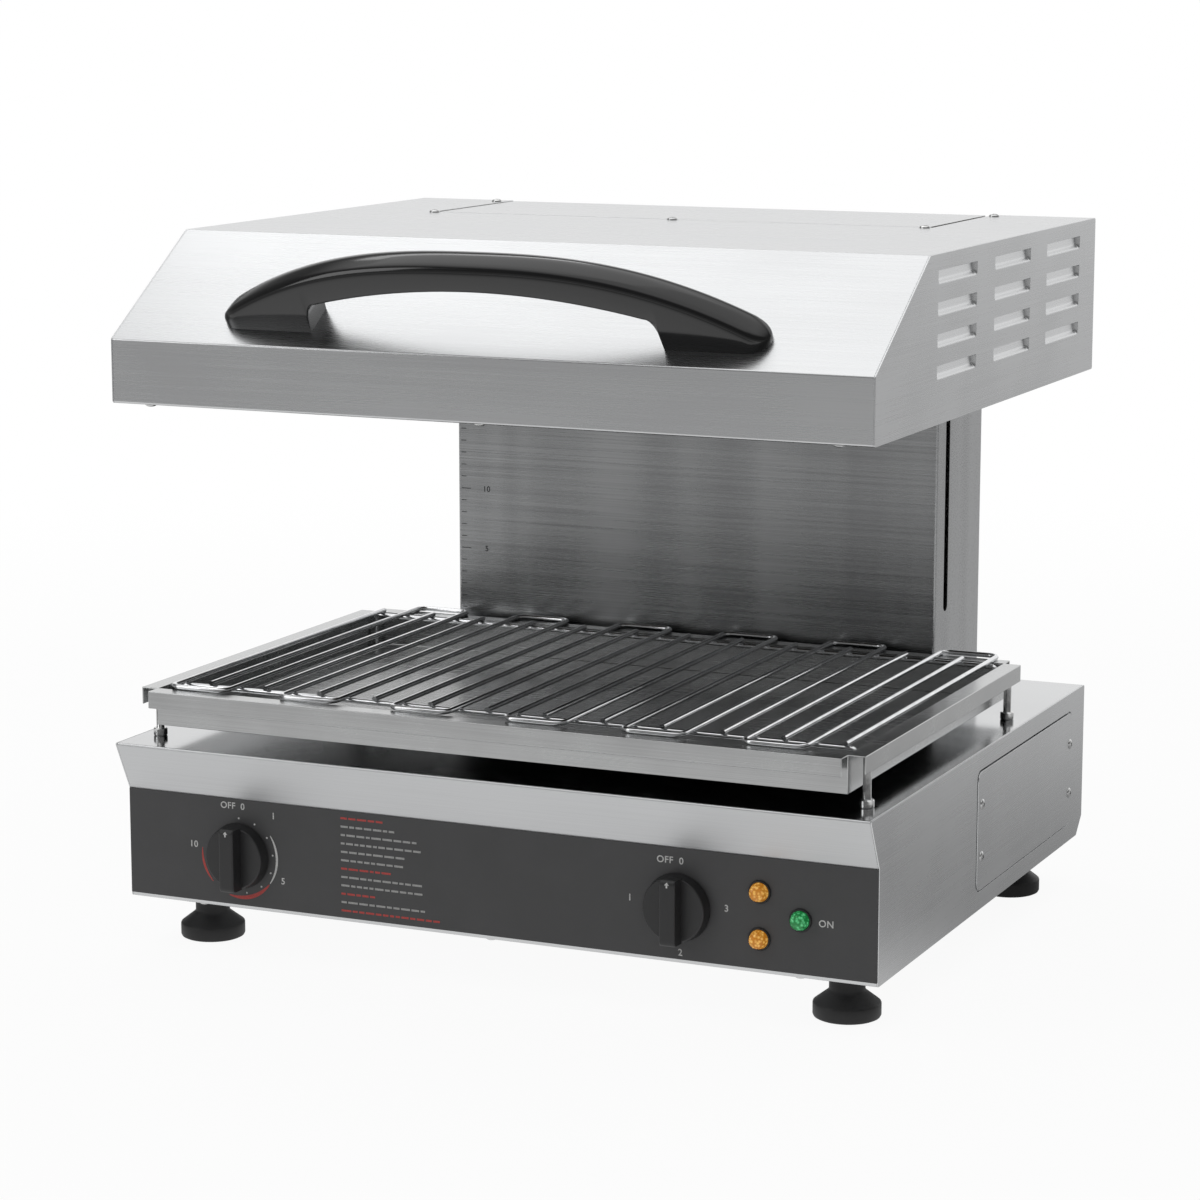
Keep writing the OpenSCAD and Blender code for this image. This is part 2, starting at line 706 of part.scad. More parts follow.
module column_shell() color("silver") home() difference() {
    translate([-column_w / 2, column_y, base_top])
        cube([column_w, column_back_y - column_y, column_top - base_top]);
    translate([-column_in_w / 2, column_y + sheet, base_top + sheet])
        cube([column_in_w, column_back_y - 2 * sheet - column_y, column_top - base_top]);
    translate([-column_in_w / 2 + hem, column_y + sheet + hem, base_top - 1])
        cube([column_in_w - 2 * hem, base_d, column_top]);
    for (s = [-1, 1]) translate([s * column_w / 2 - 5, 0, 0]) {
        translate([0, slot_y, slot_bottom + slot_w / 2])
            cube([10, slot_w, slot_top - slot_bottom - slot_w / 2]);
        to_side([0, slot_y + slot_w / 2, slot_bottom + slot_w / 2], 1) cylinder(d = slot_w, h = 10);
    }
    at_back_screws() screw_hole();
    at_column_feet() screw_hole();
}

module column_back() color("silver") home() difference() {
    translate([-column_w / 2 + 0.5, column_back_y, base_top + 1])
        cube([column_w - 1, sheet, column_top - base_top - 2]);
    at_back_screws() screw_hole();
}

module column_cap() color("silver") home() {
    translate([-column_w / 2 + 0.5, cap_y, column_top]) cube([column_w - 1, base_d - cap_y, sheet]);
    translate([-column_w / 2 + 0.5, cap_y, column_top - cap_lip]) cube([column_w - 1, sheet, cap_lip + eps]);
}

module column_screws() color("gainsboro") home() {
    at_back_screws() screw();
    at_column_feet() screw();
}

// ---- Lift ----

module guide_rods() color("gainsboro") home() for (s = [-1, 1]) translate([s * rod_x, rod_y, foot_bar_z])
    cylinder(d = rod_d, h = head_z + head_t - foot_bar_z);

// Bar on the base floor that the rods and gas springs stand on
module guide_foot() color("gray") home() difference() {
    translate([-rod_x - foot_bar_d / 2, rod_y - foot_bar_d / 2, foot_bar_z])
        cube([2 * rod_x + foot_bar_d, foot_bar_d, foot_bar_t]);
    for (s = [-1, 1]) translate([s * rod_x, rod_y, foot_bar_z - 1]) cylinder(d = rod_d, h = foot_bar_t + 2);
}

// Bridge across the top of the column that holds the rods upright
module guide_head() color("gray") home() difference() {
    union() {
        translate([-column_in_w / 2, rod_y - head_d / 2, head_z]) cube([column_in_w, head_d, head_t]);
        for (s = [0, 1])
            translate([s * (column_in_w - 3) - column_in_w / 2, rod_y - head_d / 2, head_z - head_flange])
                cube([3, head_d, head_flange + eps]);
    }
    for (s = [-1, 1]) translate([s * rod_x, rod_y, head_z - 1]) cylinder(d = rod_d, h = head_t + 2);
}

module at_struts(z) for (s = [-1, 1]) translate([s * strut_x, rod_y, z]) children();

module gas_spring_tubes() color([0.15, 0.15, 0.15]) home() at_struts(tube_z) difference() {
    cylinder(d = strut_d, h = tube_top - tube_z);
    translate([0, 0, strut_wall]) cylinder(d = strut_d - 2 * strut_wall, h = tube_l);
    translate([0, 0, tube_l]) cylinder(r = strut_rod_d / 2 + shaft_play, h = tube_top);
}

module gas_spring_rods() color("gainsboro") home() {
    at_struts(piston_z) cylinder(d = strut_rod_d, h = lug_z - piston_z);
    at_struts(piston_z) cylinder(d = strut_d - 2 * strut_wall - 0.2, h = piston_h);
}

// The carriage is a web with two bored rod bosses and two lugs over the gas springs
module carriage() color("gray") home() difference() {
    union() {
        translate([-carriage_w / 2, web_y, arm_bottom]) cube([carriage_w, web_t, arm_h]);
        for (s = [-1, 1]) {
            translate([s * rod_x - boss_d / 2, web_y, arm_bottom]) cube([boss_d, rod_y - web_y, arm_h]);
            translate([s * rod_x, rod_y, arm_bottom]) cylinder(d = boss_d, h = arm_h);
            translate([s * strut_x - lug_w / 2, web_y, lug_z])
                cube([lug_w, rod_y + lug_w / 2 - web_y, lug_t]);
        }
    }
    for (s = [-1, 1]) translate([s * rod_x, rod_y, arm_bottom - 1]) cylinder(d = bush_d, h = arm_h + 2);
    at_web_bolts() screw_hole(arm_t + web_t);
}

module carriage_bushes() color("goldenrod") home() for (s = [-1, 1], z = [0, arm_h - bush_l])
    translate([s * rod_x, rod_y, arm_bottom + z]) difference() {
        cylinder(d = bush_d, h = bush_l);
        translate([0, 0, -1]) cylinder(r = rod_d / 2 + bush_play, h = bush_l + 2);
    }

// An arm reaches from the carriage through its slot to a plate outside the shroud
module arm(s) difference() {
    union() {
        translate([s > 0 ? arm_in_x : -shroud_x - arm_plate_t, arm_y, arm_bottom])
            cube([shroud_x + arm_plate_t - arm_in_x, arm_t, arm_h]);
        translate([s > 0 ? shroud_x : -shroud_x - arm_plate_t, arm_plate_y, arm_bottom])
            cube([arm_plate_t, arm_plate_l, arm_h]);
    }
    at_arm_bolts() screw_hole();
    at_web_bolts() screw_hole(arm_t + web_t);
}
module arm_left() color("gray") home() arm(-1);
module arm_right() color("gray") home() arm(1);

module arm_bolts() color("dimgray") home() {
    at_arm_bolts() screw();
    at_web_bolts() screw();
}

// ---- Hood ----

module hood_shell() color("whitesmoke") home() difference() {
    along_x(hood_in_w) difference() {
        polygon(hood_outline);
        polygon(inset(hood_outline, sheet));
        translate([hood_y + sheet + hem, hood_bottom - 1])
            square([hood_back - hood_y - 2 * sheet - 2 * hem, sheet + 2]);
    }
    translate([-notch_w / 2, notch_y, hood_bottom - 1]) cube([notch_w, hood_back, hood_h + 2]);
    at_top_screws() screw_hole();
    at_bottom_screws() screw_hole();
    at_handle_screws() screw_hole();
}

// A louvre is a slot whose lower sheet is pressed inwards, open along its upper edge
module louvre_scoop(s) rotate([90, 0, 0]) mirror([s > 0 ? 0 : 1, 0]) linear_extrude(louvre_l, center = true)
    polygon([[0, 0], [0, -sheet], [-sheet, -sheet], [-louvre_depth - sheet, louvre_h],
        [-louvre_depth, louvre_h]]);
module louvre_end(s) rotate([90, 0, 0]) mirror([s > 0 ? 0 : 1, 0]) linear_extrude(sheet, center = true)
    polygon([[-sheet, -sheet], [-sheet, louvre_h], [-louvre_depth - sheet, louvre_h]]);
module at_louvres(s) for (i = [0:louvre_cols - 1], j = [0:louvre_rows - 1])
    translate([s * hood_w / 2, louvre_y + louvre_l / 2 + i * louvre_step_y,
        hood_bottom + louvre_z + j * louvre_step_z]) children();
module hood_side(s) {
    difference() {
        translate([s > 0 ? hood_w / 2 - sheet : -hood_w / 2, 0, 0]) rotate([90, 0, 90])
            linear_extrude(sheet) polygon(hood_outline);
        at_louvres(s) translate([0, 0, louvre_h / 2])
            cube([2 * sheet + 2, louvre_l, louvre_h], center = true);
    }
    at_louvres(s) {
        louvre_scoop(s);
        for (e = [-1, 1]) translate([0, e * (louvre_l + sheet) / 2, 0]) louvre_end(s);
    }
    difference() {
        translate([s > 0 ? hood_w / 2 - sheet - hem : -hood_w / 2 + sheet, hood_y + sheet + hem, hood_bottom])
            cube([hem, hood_back - hood_y - 2 * sheet - 2 * hem, sheet]);
        at_bottom_screws() screw_hole();
    }
}
module hood_side_left() color("silver") home() hood_side(-1);
module hood_side_right() color("silver") home() hood_side(1);

// Closes the underside around the heating window and beside the column
module hood_bottom_frame() color("silver") home() difference() {
    translate([-hood_in_w / 2 + plate_gap, hood_y + sheet + plate_gap, frame_z])
        cube([hood_in_w - 2 * plate_gap, hood_back - hood_y - 2 * sheet - 2 * plate_gap, sheet]);
    translate([-window_w / 2, window_y, frame_z - 1]) cube([window_w, window_back - window_y, sheet + 2]);
    translate([-notch_w / 2, notch_y, frame_z - 1]) cube([notch_w, hood_back, sheet + 2]);
    at_bottom_screws() screw_hole();
}

// U-shaped liner around the column, hung from the hood's top by its flanges
module column_shroud() color("silver") home() difference() {
    union() {
        difference() {
            translate([-shroud_x, notch_y - sheet, shroud_z])
                cube([2 * shroud_x, hood_back - notch_y - plate_gap, shroud_top - shroud_z]);
            translate([-notch_w / 2, notch_y, shroud_z - 1]) cube([notch_w, hood_back, hood_h]);
        }
        difference() {
            translate([-shroud_x - hem, notch_y - sheet - hem, shroud_top - sheet])
                cube([2 * shroud_x + 2 * hem, hood_back - notch_y + hem - plate_gap, sheet]);
            translate([-notch_w / 2, notch_y, shroud_z - 1]) cube([notch_w, hood_back, hood_h]);
        }
    }
    for (s = [-1, 1]) translate([s * shroud_x - hem, arm_y - arm_play, arm_bottom - arm_play])
        cube([2 * hem, arm_t + 2 * arm_play, arm_h + 2 * arm_play]);
    at_top_screws() screw_hole();
    at_arm_bolts() screw_hole();
}

module hood_screws() color("gainsboro") home() {
    at_top_screws() screw();
    at_bottom_screws() screw();
}

// Polished tray above the elements that throws the heat down
module reflector() color("gainsboro") home() difference() {
    translate([-reflector_w / 2, reflector_y, reflector_z])
        cube([reflector_w, reflector_back - reflector_y, reflector_h]);
    translate([-reflector_w / 2 + sheet, reflector_y + sheet, reflector_z - 1])
        cube([reflector_w - 2 * sheet, reflector_back - reflector_y - 2 * sheet, reflector_h - sheet + 1]);
    at_element_ends() translate([0, 0, -5]) cylinder(d = element_d + 0.6, h = 10);
}

module insulation_blanket() color("ivory") home() translate([-reflector_w / 2 + 4, blanket_y, reflector_top])
    cube([reflector_w - 8, reflector_back - blanket_y, blanket_t]);

// Serpentine heating elements: straight legs front to back joined by half rings
module at_element_ends() for (c = [-1, 1], s = [-1, 1])
    to_rear([c * window_w / 4 + s * element_span / 2, reflector_back - sheet / 2, element_axis]) children();
module half_ring(a) rotate([0, 0, a]) rotate_extrude(angle = 180) translate([element_step / 2, 0])
    circle(d = element_d, $fn = 24);
module element(c) translate([c * window_w / 4 - element_span / 2, 0, element_axis]) {
    for (i = [0:element_legs - 1]) {
        end = i == 0 || i == element_legs - 1 ? element_end : element_back;
        to_rear([i * element_step, element_front, 0])
            cylinder(d = element_d, h = end - element_front, $fn = 24);
    }
    for (i = [0:2:element_legs - 2]) translate([(i + 0.5) * element_step, element_front, 0]) half_ring(180);
    for (i = [1:2:element_legs - 3]) translate([(i + 0.5) * element_step, element_back, 0]) half_ring(0);
}
module element_left() color([0.25, 0.23, 0.22]) home() element(-1);
module element_right() color([0.25, 0.23, 0.22]) home() element(1);

// Hangers from the reflector's ceiling that carry the element legs
module element_supports() color("gray") home() for (c = [-1, 1], y = hanger_ys) {
    x0 = c * window_w / 4 - element_span / 2;
    difference() {
        translate([x0 - element_d, y - hanger_t / 2, hanger_z])
            cube([element_span + 2 * element_d, hanger_t, reflector_top - sheet - hanger_z]);
        for (i = [0:element_legs - 1]) to_rear([x0 + i * element_step, y - hanger_t, element_axis])
            cylinder(d = element_d + 0.2, h = 2 * hanger_t, $fn = 24);
    }
}

// Arched handle: the side view is an arch on two feet, the plan tapers to the ends
function arch(x) = handle_h * (1 - pow(abs(x) / (handle_l / 2), 3));
function plan(x) = handle_w * (1 - 0.55 * pow(abs(x) / (handle_l / 2), 3));
module handle() color([0.08, 0.08, 0.08]) home() difference() {
    on_slope() translate([0, handle_up, 0]) intersection() {
        rotate([90, 0, 0]) translate([0, 0, -handle_w]) linear_extrude(handle_w) polygon(concat(
            [for (i = [-16:16]) let (x = handle_l / 2 * sin(i * 90 / 16)) [x, max(arch(x), 0)]],
            [[leg_in, 0]],
            [for (i = [8:-1:-8]) let (x = (leg_in - 10) * i / 8)
                [x, under_mid - (under_mid - handle_foot_h) * pow(i / 8, 2)]],
            [[-leg_in, 0]]));
        linear_extrude(handle_h) polygon(concat(
            [[-handle_l / 2, 0], [handle_l / 2, 0]],
            [for (i = [16:-1:-16]) let (x = handle_l / 2 * sin(i * 90 / 16)) [x, plan(x)]]));
    }
    at_handle_screws() translate([0, 0, -handle_screw_l]) cylinder(d = screw_d, h = handle_screw_l);
}

module handle_screws() color("gainsboro") home() at_handle_screws() {
    cylinder(d = screw_head_d, h = screw_head_h);
    translate([0, 0, -handle_screw_l]) cylinder(d = screw_d, h = handle_screw_l + eps);
}

// ---- Drip pan and grid ----

module drip_pan() color("lightgray") home() {
    difference() {
        translate([-pan_w / 2, pan_y, pan_floor]) cube([pan_w, pan_l, pan_h]);
        translate([-pan_w / 2 + pan_t, pan_y + pan_t, pan_floor + pan_t])
            cube([pan_w - 2 * pan_t, pan_l - 2 * pan_t, pan_h]);
    }
    for (s = [-1, 1]) {
        translate([s > 0 ? pan_w / 2 - eps : -flange_x, pan_y, rim_z - pan_t])
            cube([side_flange + eps, pan_l, pan_t]);
        translate([s > 0 ? flange_x - pan_t : -flange_x, pan_y, rim_z - flange_lip])
            cube([pan_t, pan_l, flange_lip]);
    }
    for (y = [pan_y - end_flange, pan_back - eps]) translate([-pan_w / 2, y, rim_z - pan_t])
        cube([pan_w, end_flange + eps, pan_t]);
    for (y = [pan_y - end_flange, pan_back + end_flange - pan_t])
        translate([-pan_w / 2, y, rim_z - flange_lip]) cube([pan_w, pan_t, flange_lip]);
}

// One wire along Y between two places, one along X, and a quarter bend
module wire_y(x, y0, y1, z = wire_z) to_rear([x, y0, z]) cylinder(d = wire_d, h = y1 - y0, $fn = 20);
module wire_x(x0, x1, y, z = wire_z) to_side([x0, y, z], 1) cylinder(d = wire_d, h = x1 - x0, $fn = 20);
module bend(x, y, a) translate([x, y, wire_z]) rotate([0, 0, a]) rotate_extrude(angle = 90)
    translate([loop_r, 0]) circle(d = wire_d, $fn = 20);
function wire_at(i) = first_wire + i * wire_step;
function is_long_front(i) = i % 2 == 0;

module wire_grid() color("gainsboro") home() {
    for (i = [0:wire_n - 1]) wire_y(wire_at(i),
        is_long_front(i) ? grid_y + loop_r : short_front,
        is_long_front(i) ? short_back : grid_back - loop_r);
    for (i = [0:4:wire_n - 4]) {
        wire_x(wire_at(i) + loop_r, wire_at(i + 2) - loop_r, grid_y);
        bend(wire_at(i) + loop_r, grid_y + loop_r, 180);
        bend(wire_at(i + 2) - loop_r, grid_y + loop_r, 270);
        wire_x(wire_at(i + 1) + loop_r, wire_at(i + 3) - loop_r, grid_back);
        bend(wire_at(i + 1) + loop_r, grid_back - loop_r, 90);
        bend(wire_at(i + 3) - loop_r, grid_back - loop_r, 0);
    }
}

// Two cross bars carry the long wires; their ends are bent down into the pan
module grid_cross_bars() color("gainsboro") home() for (y = cross_ys) {
    wire_x(leg_x, -leg_x, y, cross_z);
    for (x = [leg_x, -leg_x]) {
        translate([x, y, leg_z]) cylinder(d = wire_d, h = cross_z - leg_z, $fn = 20);
        translate([x, y, cross_z]) sphere(d = wire_d, $fn = 20);
    }
}

base_shell();
side_panel_left();
side_panel_right();
bottom_plate();
control_panel();
side_cover_left();
side_cover_right();
cover_screws();
base_screws();
timer_body();
selector_body();
control_screws();
timer_knob();
timer_shaft();
selector_knob();
selector_shaft();
lamp_barrels();
lamp_lens_upper();
lamp_lens_lower();
lamp_lens_power();
terminal_block();
cable_gland();
column_shell();
column_back();
column_cap();
column_screws();
guide_rods();
guide_foot();
guide_head();
gas_spring_tubes();
gas_spring_rods();
carriage();
carriage_bushes();
arm_left();
arm_right();
arm_bolts();
hood_shell();
hood_side_left();
hood_side_right();
hood_bottom_frame();
column_shroud();
hood_screws();
reflector();
insulation_blanket();
element_left();
element_right();
element_supports();
handle();
handle_screws();
support_pins();
drip_pan();
wire_grid();
grid_cross_bars();
foot_front_left();
foot_front_right();
foot_rear_left();
foot_rear_right();
foot_nuts();
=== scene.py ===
import math
import random

import bmesh
import bpy
from mathutils import Matrix, Vector


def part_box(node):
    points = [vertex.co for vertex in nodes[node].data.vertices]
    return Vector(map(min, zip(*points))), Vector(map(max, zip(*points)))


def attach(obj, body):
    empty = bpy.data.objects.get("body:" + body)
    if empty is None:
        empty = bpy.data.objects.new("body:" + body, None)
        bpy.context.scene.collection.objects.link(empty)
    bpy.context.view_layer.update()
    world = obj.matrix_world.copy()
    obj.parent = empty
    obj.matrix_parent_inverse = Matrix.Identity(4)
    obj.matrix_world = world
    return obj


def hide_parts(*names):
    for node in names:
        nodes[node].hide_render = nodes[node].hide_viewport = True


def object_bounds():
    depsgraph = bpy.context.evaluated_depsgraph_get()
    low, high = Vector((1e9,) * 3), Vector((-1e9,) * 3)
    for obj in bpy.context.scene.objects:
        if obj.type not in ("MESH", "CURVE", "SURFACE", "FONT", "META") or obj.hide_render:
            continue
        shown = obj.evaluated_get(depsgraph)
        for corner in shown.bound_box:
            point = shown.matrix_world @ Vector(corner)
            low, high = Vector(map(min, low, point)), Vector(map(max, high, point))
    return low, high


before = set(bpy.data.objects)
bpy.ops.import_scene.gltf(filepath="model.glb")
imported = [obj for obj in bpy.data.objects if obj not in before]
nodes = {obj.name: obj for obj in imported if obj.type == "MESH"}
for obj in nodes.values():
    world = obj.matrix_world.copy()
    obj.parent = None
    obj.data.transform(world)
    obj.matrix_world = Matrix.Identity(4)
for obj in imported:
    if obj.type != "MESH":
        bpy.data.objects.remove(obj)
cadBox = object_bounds()
scene = bpy.context.scene
mm = 0.001  # lengths below are in millimetres until they reach a mesh

# The camera stands in front of the right corner, a little above the hood
cameraView = {"place": (1.0831, -2.4421, 0.7351), "azimuth": 24.2, "elevation": 10.28, "lens": 105.39}


def makeCamera(view):
    azimuth, elevation = math.radians(view["azimuth"]), math.radians(view["elevation"])
    back = Vector((math.sin(azimuth) * math.cos(elevation), -math.cos(azimuth) * math.cos(elevation),
                   math.sin(elevation)))
    data = bpy.data.cameras.new("camera")
    data.lens = view["lens"]
    camera = bpy.data.objects.new("camera", data)
    camera.location = view["place"]
    camera.rotation_mode = "QUATERNION"
    camera.rotation_quaternion = (-back).to_track_quat("-Z", "Y")
    scene.collection.objects.link(camera)
    scene.camera = camera


makeCamera(cameraView)


def boxOf(node):  # a node's lowest and highest corner in millimetres
    low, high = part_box(node)
    return [round(c / mm, 3) for c in low], [round(c / mm, 3) for c in high]


lip = boxOf("base_shell")[0][1]  # the base's front edge; lengths along Y are measured back from it


# ------ node and material helpers
def linear(code):  # an sRGB hex value as a linear colour
    parts = [int(code[i:i + 2], 16) / 255 for i in (1, 3, 5)]
    return [c / 12.92 if c <= 0.04045 else ((c + 0.055) / 1.055) ** 2.4 for c in parts] + [1.0]


def addNode(tree, kind, values=None, **settings):
    # values sets inputs by name or number; a socket among them is linked
    node = tree.nodes.new(kind)
    for name, value in settings.items():
        setattr(node, name, value)
    for key, value in (values or {}).items():
        if isinstance(value, bpy.types.NodeSocket):
            tree.links.new(value, node.inputs[key])
        else:
            node.inputs[key].default_value = value
    return node


def newMaterial(name, settings):  # settings go to the shader's own sockets
    material = bpy.data.materials.new(name)
    material.use_nodes = True
    tree = material.node_tree
    shader = tree.nodes["Principled BSDF"]
    for key, value in settings.items():
        shader.inputs[key].default_value = value
    return material, tree, shader


def grain(tree, size, detail=3.0, turn=(0, 0, 0)):
    # noise on the piece's own coordinates; size is the length of a grain along X, Y and Z in millimetres
    place = addNode(tree, "ShaderNodeTexCoord").outputs["Object"]
    scaled = addNode(tree, "ShaderNodeMapping", {"Vector": place, "Scale": [1 / (s * mm) for s in size],
                                                 "Rotation": turn})
    noise = addNode(tree, "ShaderNodeTexNoise", {"Vector": scaled.outputs[0], "Scale": 1.0, "Detail": detail})
    return noise.outputs[0]


def spread(tree, value, low, high, fromLow=0.3, fromHigh=0.7):
    return addNode(tree, "ShaderNodeMapRange", {"Value": value, "From Min": fromLow, "From Max": fromHigh,
                                                "To Min": low, "To Max": high}).outputs["Result"]


def tint(tree, value, dark, light):  # a colour between two hex values
    mix = addNode(tree, "ShaderNodeMix", {"Factor": value}, data_type="RGBA")
    mix.inputs[6].default_value = linear(dark)
    mix.inputs[7].default_value = linear(light)
    return mix.outputs[2]


def bump(tree, shader, height, depth, strength=1.0):
    relief = addNode(tree, "ShaderNodeBump", {"Height": height, "Distance": depth * mm, "Strength": strength})
    tree.links.new(relief.outputs["Normal"], shader.inputs["Normal"])


def brushedSteel(name, look):
    # stainless 304 with a belt-ground grain: long fine scratches along one direction over slow hazy patches
    material, tree, shader = newMaterial(name, {"Metallic": 1.0})
    scratches = grain(tree, look["grain"], detail=4.0)
    haze = grain(tree, look["haze"], detail=2.0)
    mixed = addNode(tree, "ShaderNodeMath", {0: scratches, 1: haze}, operation="ADD").outputs[0]
    tree.links.new(tint(tree, spread(tree, mixed, 0, 1, 0.75, 1.25), look["dark"], look["light"]),
                   shader.inputs["Base Color"])
    tree.links.new(spread(tree, mixed, look["rough"][0], look["rough"][1], 0.75, 1.25), shader.inputs["Roughness"])
    bump(tree, shader, scratches, look["relief"])
    return material


def mouldedPlastic(name, look):
    # injection moulded plastic: fine even texture from the tool, slightly uneven gloss
    material, tree, shader = newMaterial(name, {"Coat Weight": look.get("coat", 0.0), "Coat Roughness": 0.06,
                                                "Coat IOR": 1.58, "IOR": 1.52})
    pits = grain(tree, [look["pit"]] * 3, detail=2.0)
    patches = grain(tree, [35, 35, 35], detail=3.0)
    tree.links.new(tint(tree, spread(tree, patches, 0, 1), look["dark"], look["light"]), shader.inputs["Base Color"])
    tree.links.new(spread(tree, patches, *look["rough"]), shader.inputs["Roughness"])
    bump(tree, shader, pits, look["relief"])
    return material


def lensPlastic(name, look):
    # coloured acrylic over a small neon lamp, with ribs at its back and a glossy skin; the Voronoi cells draw the ribs,
    # and their light centres and the glow are painted highlights
    material, tree, shader = newMaterial(name, {"Roughness": 0.16, "Transmission Weight": 0.15, "IOR": 1.49,
                                                "Emission Strength": look["glow"]})
    cell = addNode(tree, "ShaderNodeTexVoronoi", {"Vector": addNode(tree, "ShaderNodeTexCoord").outputs["Object"],
                                                  "Scale": 1 / (look["cell"] * mm)})
    shade = spread(tree, cell.outputs["Distance"], 1, 0, 0.1, 0.62)
    colour = tint(tree, shade, look["dark"], look["light"])
    tree.links.new(colour, shader.inputs["Base Color"])
    tree.links.new(colour, shader.inputs["Emission Color"])
    bump(tree, shader, cell.outputs["Distance"], look["relief"])
    return material


def plainMetal(name, look):
    # plated or raw inner metal: even colour with faint mottling
    material, tree, shader = newMaterial(name, {"Metallic": 1.0})
    patches = grain(tree, [look["patch"]] * 3, detail=4.0)
    tree.links.new(tint(tree, spread(tree, patches, 0, 1), look["dark"], look["light"]), shader.inputs["Base Color"])
    tree.links.new(spread(tree, patches, *look["rough"]), shader.inputs["Roughness"])
    bump(tree, shader, patches, look["relief"])
    return material


def ceramicFibre(name, look):
    # white refractory wool: matt, lumpy felt
    material, tree, shader = newMaterial(name, {"Roughness": 0.95, "Sheen Weight": 0.3})
    lumps = grain(tree, [look["lump"]] * 3, detail=6.0)
    tree.links.new(tint(tree, spread(tree, lumps, 0, 1), look["dark"], look["light"]), shader.inputs["Base Color"])
    bump(tree, shader, lumps, look["relief"])
    return material


def printInk(name, code):
    # screen-printed ink: flat colour with a slightly broken edge and a satin skin
    material, tree, shader = newMaterial(name, {"Roughness": 0.5})
    specks = grain(tree, [0.8, 0.8, 0.8], detail=2.0)
    shade = "#%02X%02X%02X" % tuple(int(int(code[i:i + 2], 16) * 0.82) for i in (1, 3, 5))
    tree.links.new(tint(tree, spread(tree, specks, 0, 1), shade, code), shader.inputs["Base Color"])
    return material


# Ground sheet: the scratches run along the longest side of each panel and are drawn 0.7 mm apart, coarser
# than the real grit, so that they show
scratch = {"long": 150, "fine": 0.7}
steelLook = {"dark": "#CCCDCE", "light": "#D5D6D7", "rough": (0.25, 0.3), "relief": 0.0002,
             "grain": (scratch["long"], scratch["fine"], scratch["fine"]), "haze": (160, 90, 90)}
acrossSteel = brushedSteel("stainless304GroundAcross", steelLook)
alongSteel = brushedSteel("stainless304GroundAlong", dict(
    steelLook, grain=(scratch["fine"], scratch["long"], scratch["fine"])))
# the column's front is darker than the other steel, and hazy patches drawn tall give it soft upright bands of tone:
# painted shade under the hood and painted reflections of the room
columnSteelPaintedShadeAndReflection = brushedSteel("stainless304GroundPaintedShadeBands", dict(
    steelLook, dark="#969798", light="#BDBEBF", haze=(60, 60, 2500), relief=0.00015))
# the fascia's finish is duller and spreads what it mirrors
fasciaSteel = brushedSteel("stainless304Satin", dict(steelLook, rough=(0.5, 0.56)))
uprightSteel = brushedSteel("stainless304GroundUpright", dict(
    steelLook, grain=(scratch["fine"], scratch["fine"], scratch["long"])))
topSteel = brushedSteel("stainless304Polished", dict(
    steelLook, dark="#C0C1C2", light="#C9CACB", rough=(0.12, 0.17), relief=0.0005))
# the pan's steel is a little darker than the rest: painted shade for its inside under the hood; its broad patches are
# random tone
panSteelPaintedShade = brushedSteel("stainless430RolledPaintedShade", dict(
    steelLook, dark="#BABBBB", light="#C8C9C9", rough=(0.2, 0.28), haze=(50, 50, 50)))
# the reflector, the frame under the hood and the column's liner get a dark browned steel: painted shade under the hood
# and in the gap round the column's cap, which the drip pan also mirrors
paintedShadeSteel = brushedSteel("stainless304PaintedShade", dict(
    steelLook, dark="#4E4A46", light="#6B665F", rough=(0.34, 0.46), haze=(30, 60, 60)))
wireChrome = plainMetal("chromePlatedWire", {"dark": "#D9DADC", "light": "#EFF0F1", "rough": (0.1, 0.18),
                                             "patch": 14, "relief": 0.004})
brightSteel = plainMetal("nickelPlatedSteel", {"dark": "#C4C5C6", "light": "#E2E2E1", "rough": (0.16, 0.28),
                                               "patch": 5, "relief": 0.004})
zincSteel = plainMetal("zincPlatedSteel", {"dark": "#9EA1A3", "light": "#BDBFC0", "rough": (0.38, 0.5),
                                           "patch": 9, "relief": 0.01})
bushBrass = plainMetal("sinteredBrass", {"dark": "#A98238", "light": "#C79E50", "rough": (0.4, 0.52),
                                         "patch": 3, "relief": 0.02})
elementSteel = plainMetal("oxidisedIncoloy", {"dark": "#2E2A28", "light": "#4B443F", "rough": (0.5, 0.66),
                                              "patch": 6, "relief": 0.02})
panelBlack = mouldedPlastic("polyesterOverlay", {"dark": "#404041", "light": "#464647", "rough": (0.42, 0.5),
                                                 "pit": 0.9, "relief": 0.01})
knobBlack = mouldedPlastic("mouldedAbsBlack", {"dark": "#212122", "light": "#272728", "rough": (0.4, 0.5),
                                                 "pit": 1.1, "relief": 0.012})
handleBlack = mouldedPlastic("mouldedPhenolicBlack", {"dark": "#0B0B0C", "light": "#0F0F10", "rough": (0.1, 0.15),
                                                      "pit": 3.0, "relief": 0.002, "coat": 0.15})
footRubber = mouldedPlastic("mouldedNitrileBlack", {"dark": "#131314", "light": "#19191A", "rough": (0.45, 0.58),
                                                    "pit": 1.4, "relief": 0.015})
whitePlastic = mouldedPlastic("mouldedPolyamideIvory", {"dark": "#DAD6C8", "light": "#E6E2D6",
                                                        "rough": (0.4, 0.5), "pit": 1.5, "relief": 0.01})
tubeBlack = mouldedPlastic("powderCoatBlack", {"dark": "#1C1C1D", "light": "#262627", "rough": (0.34, 0.44),
                                               "pit": 1.6, "relief": 0.02})
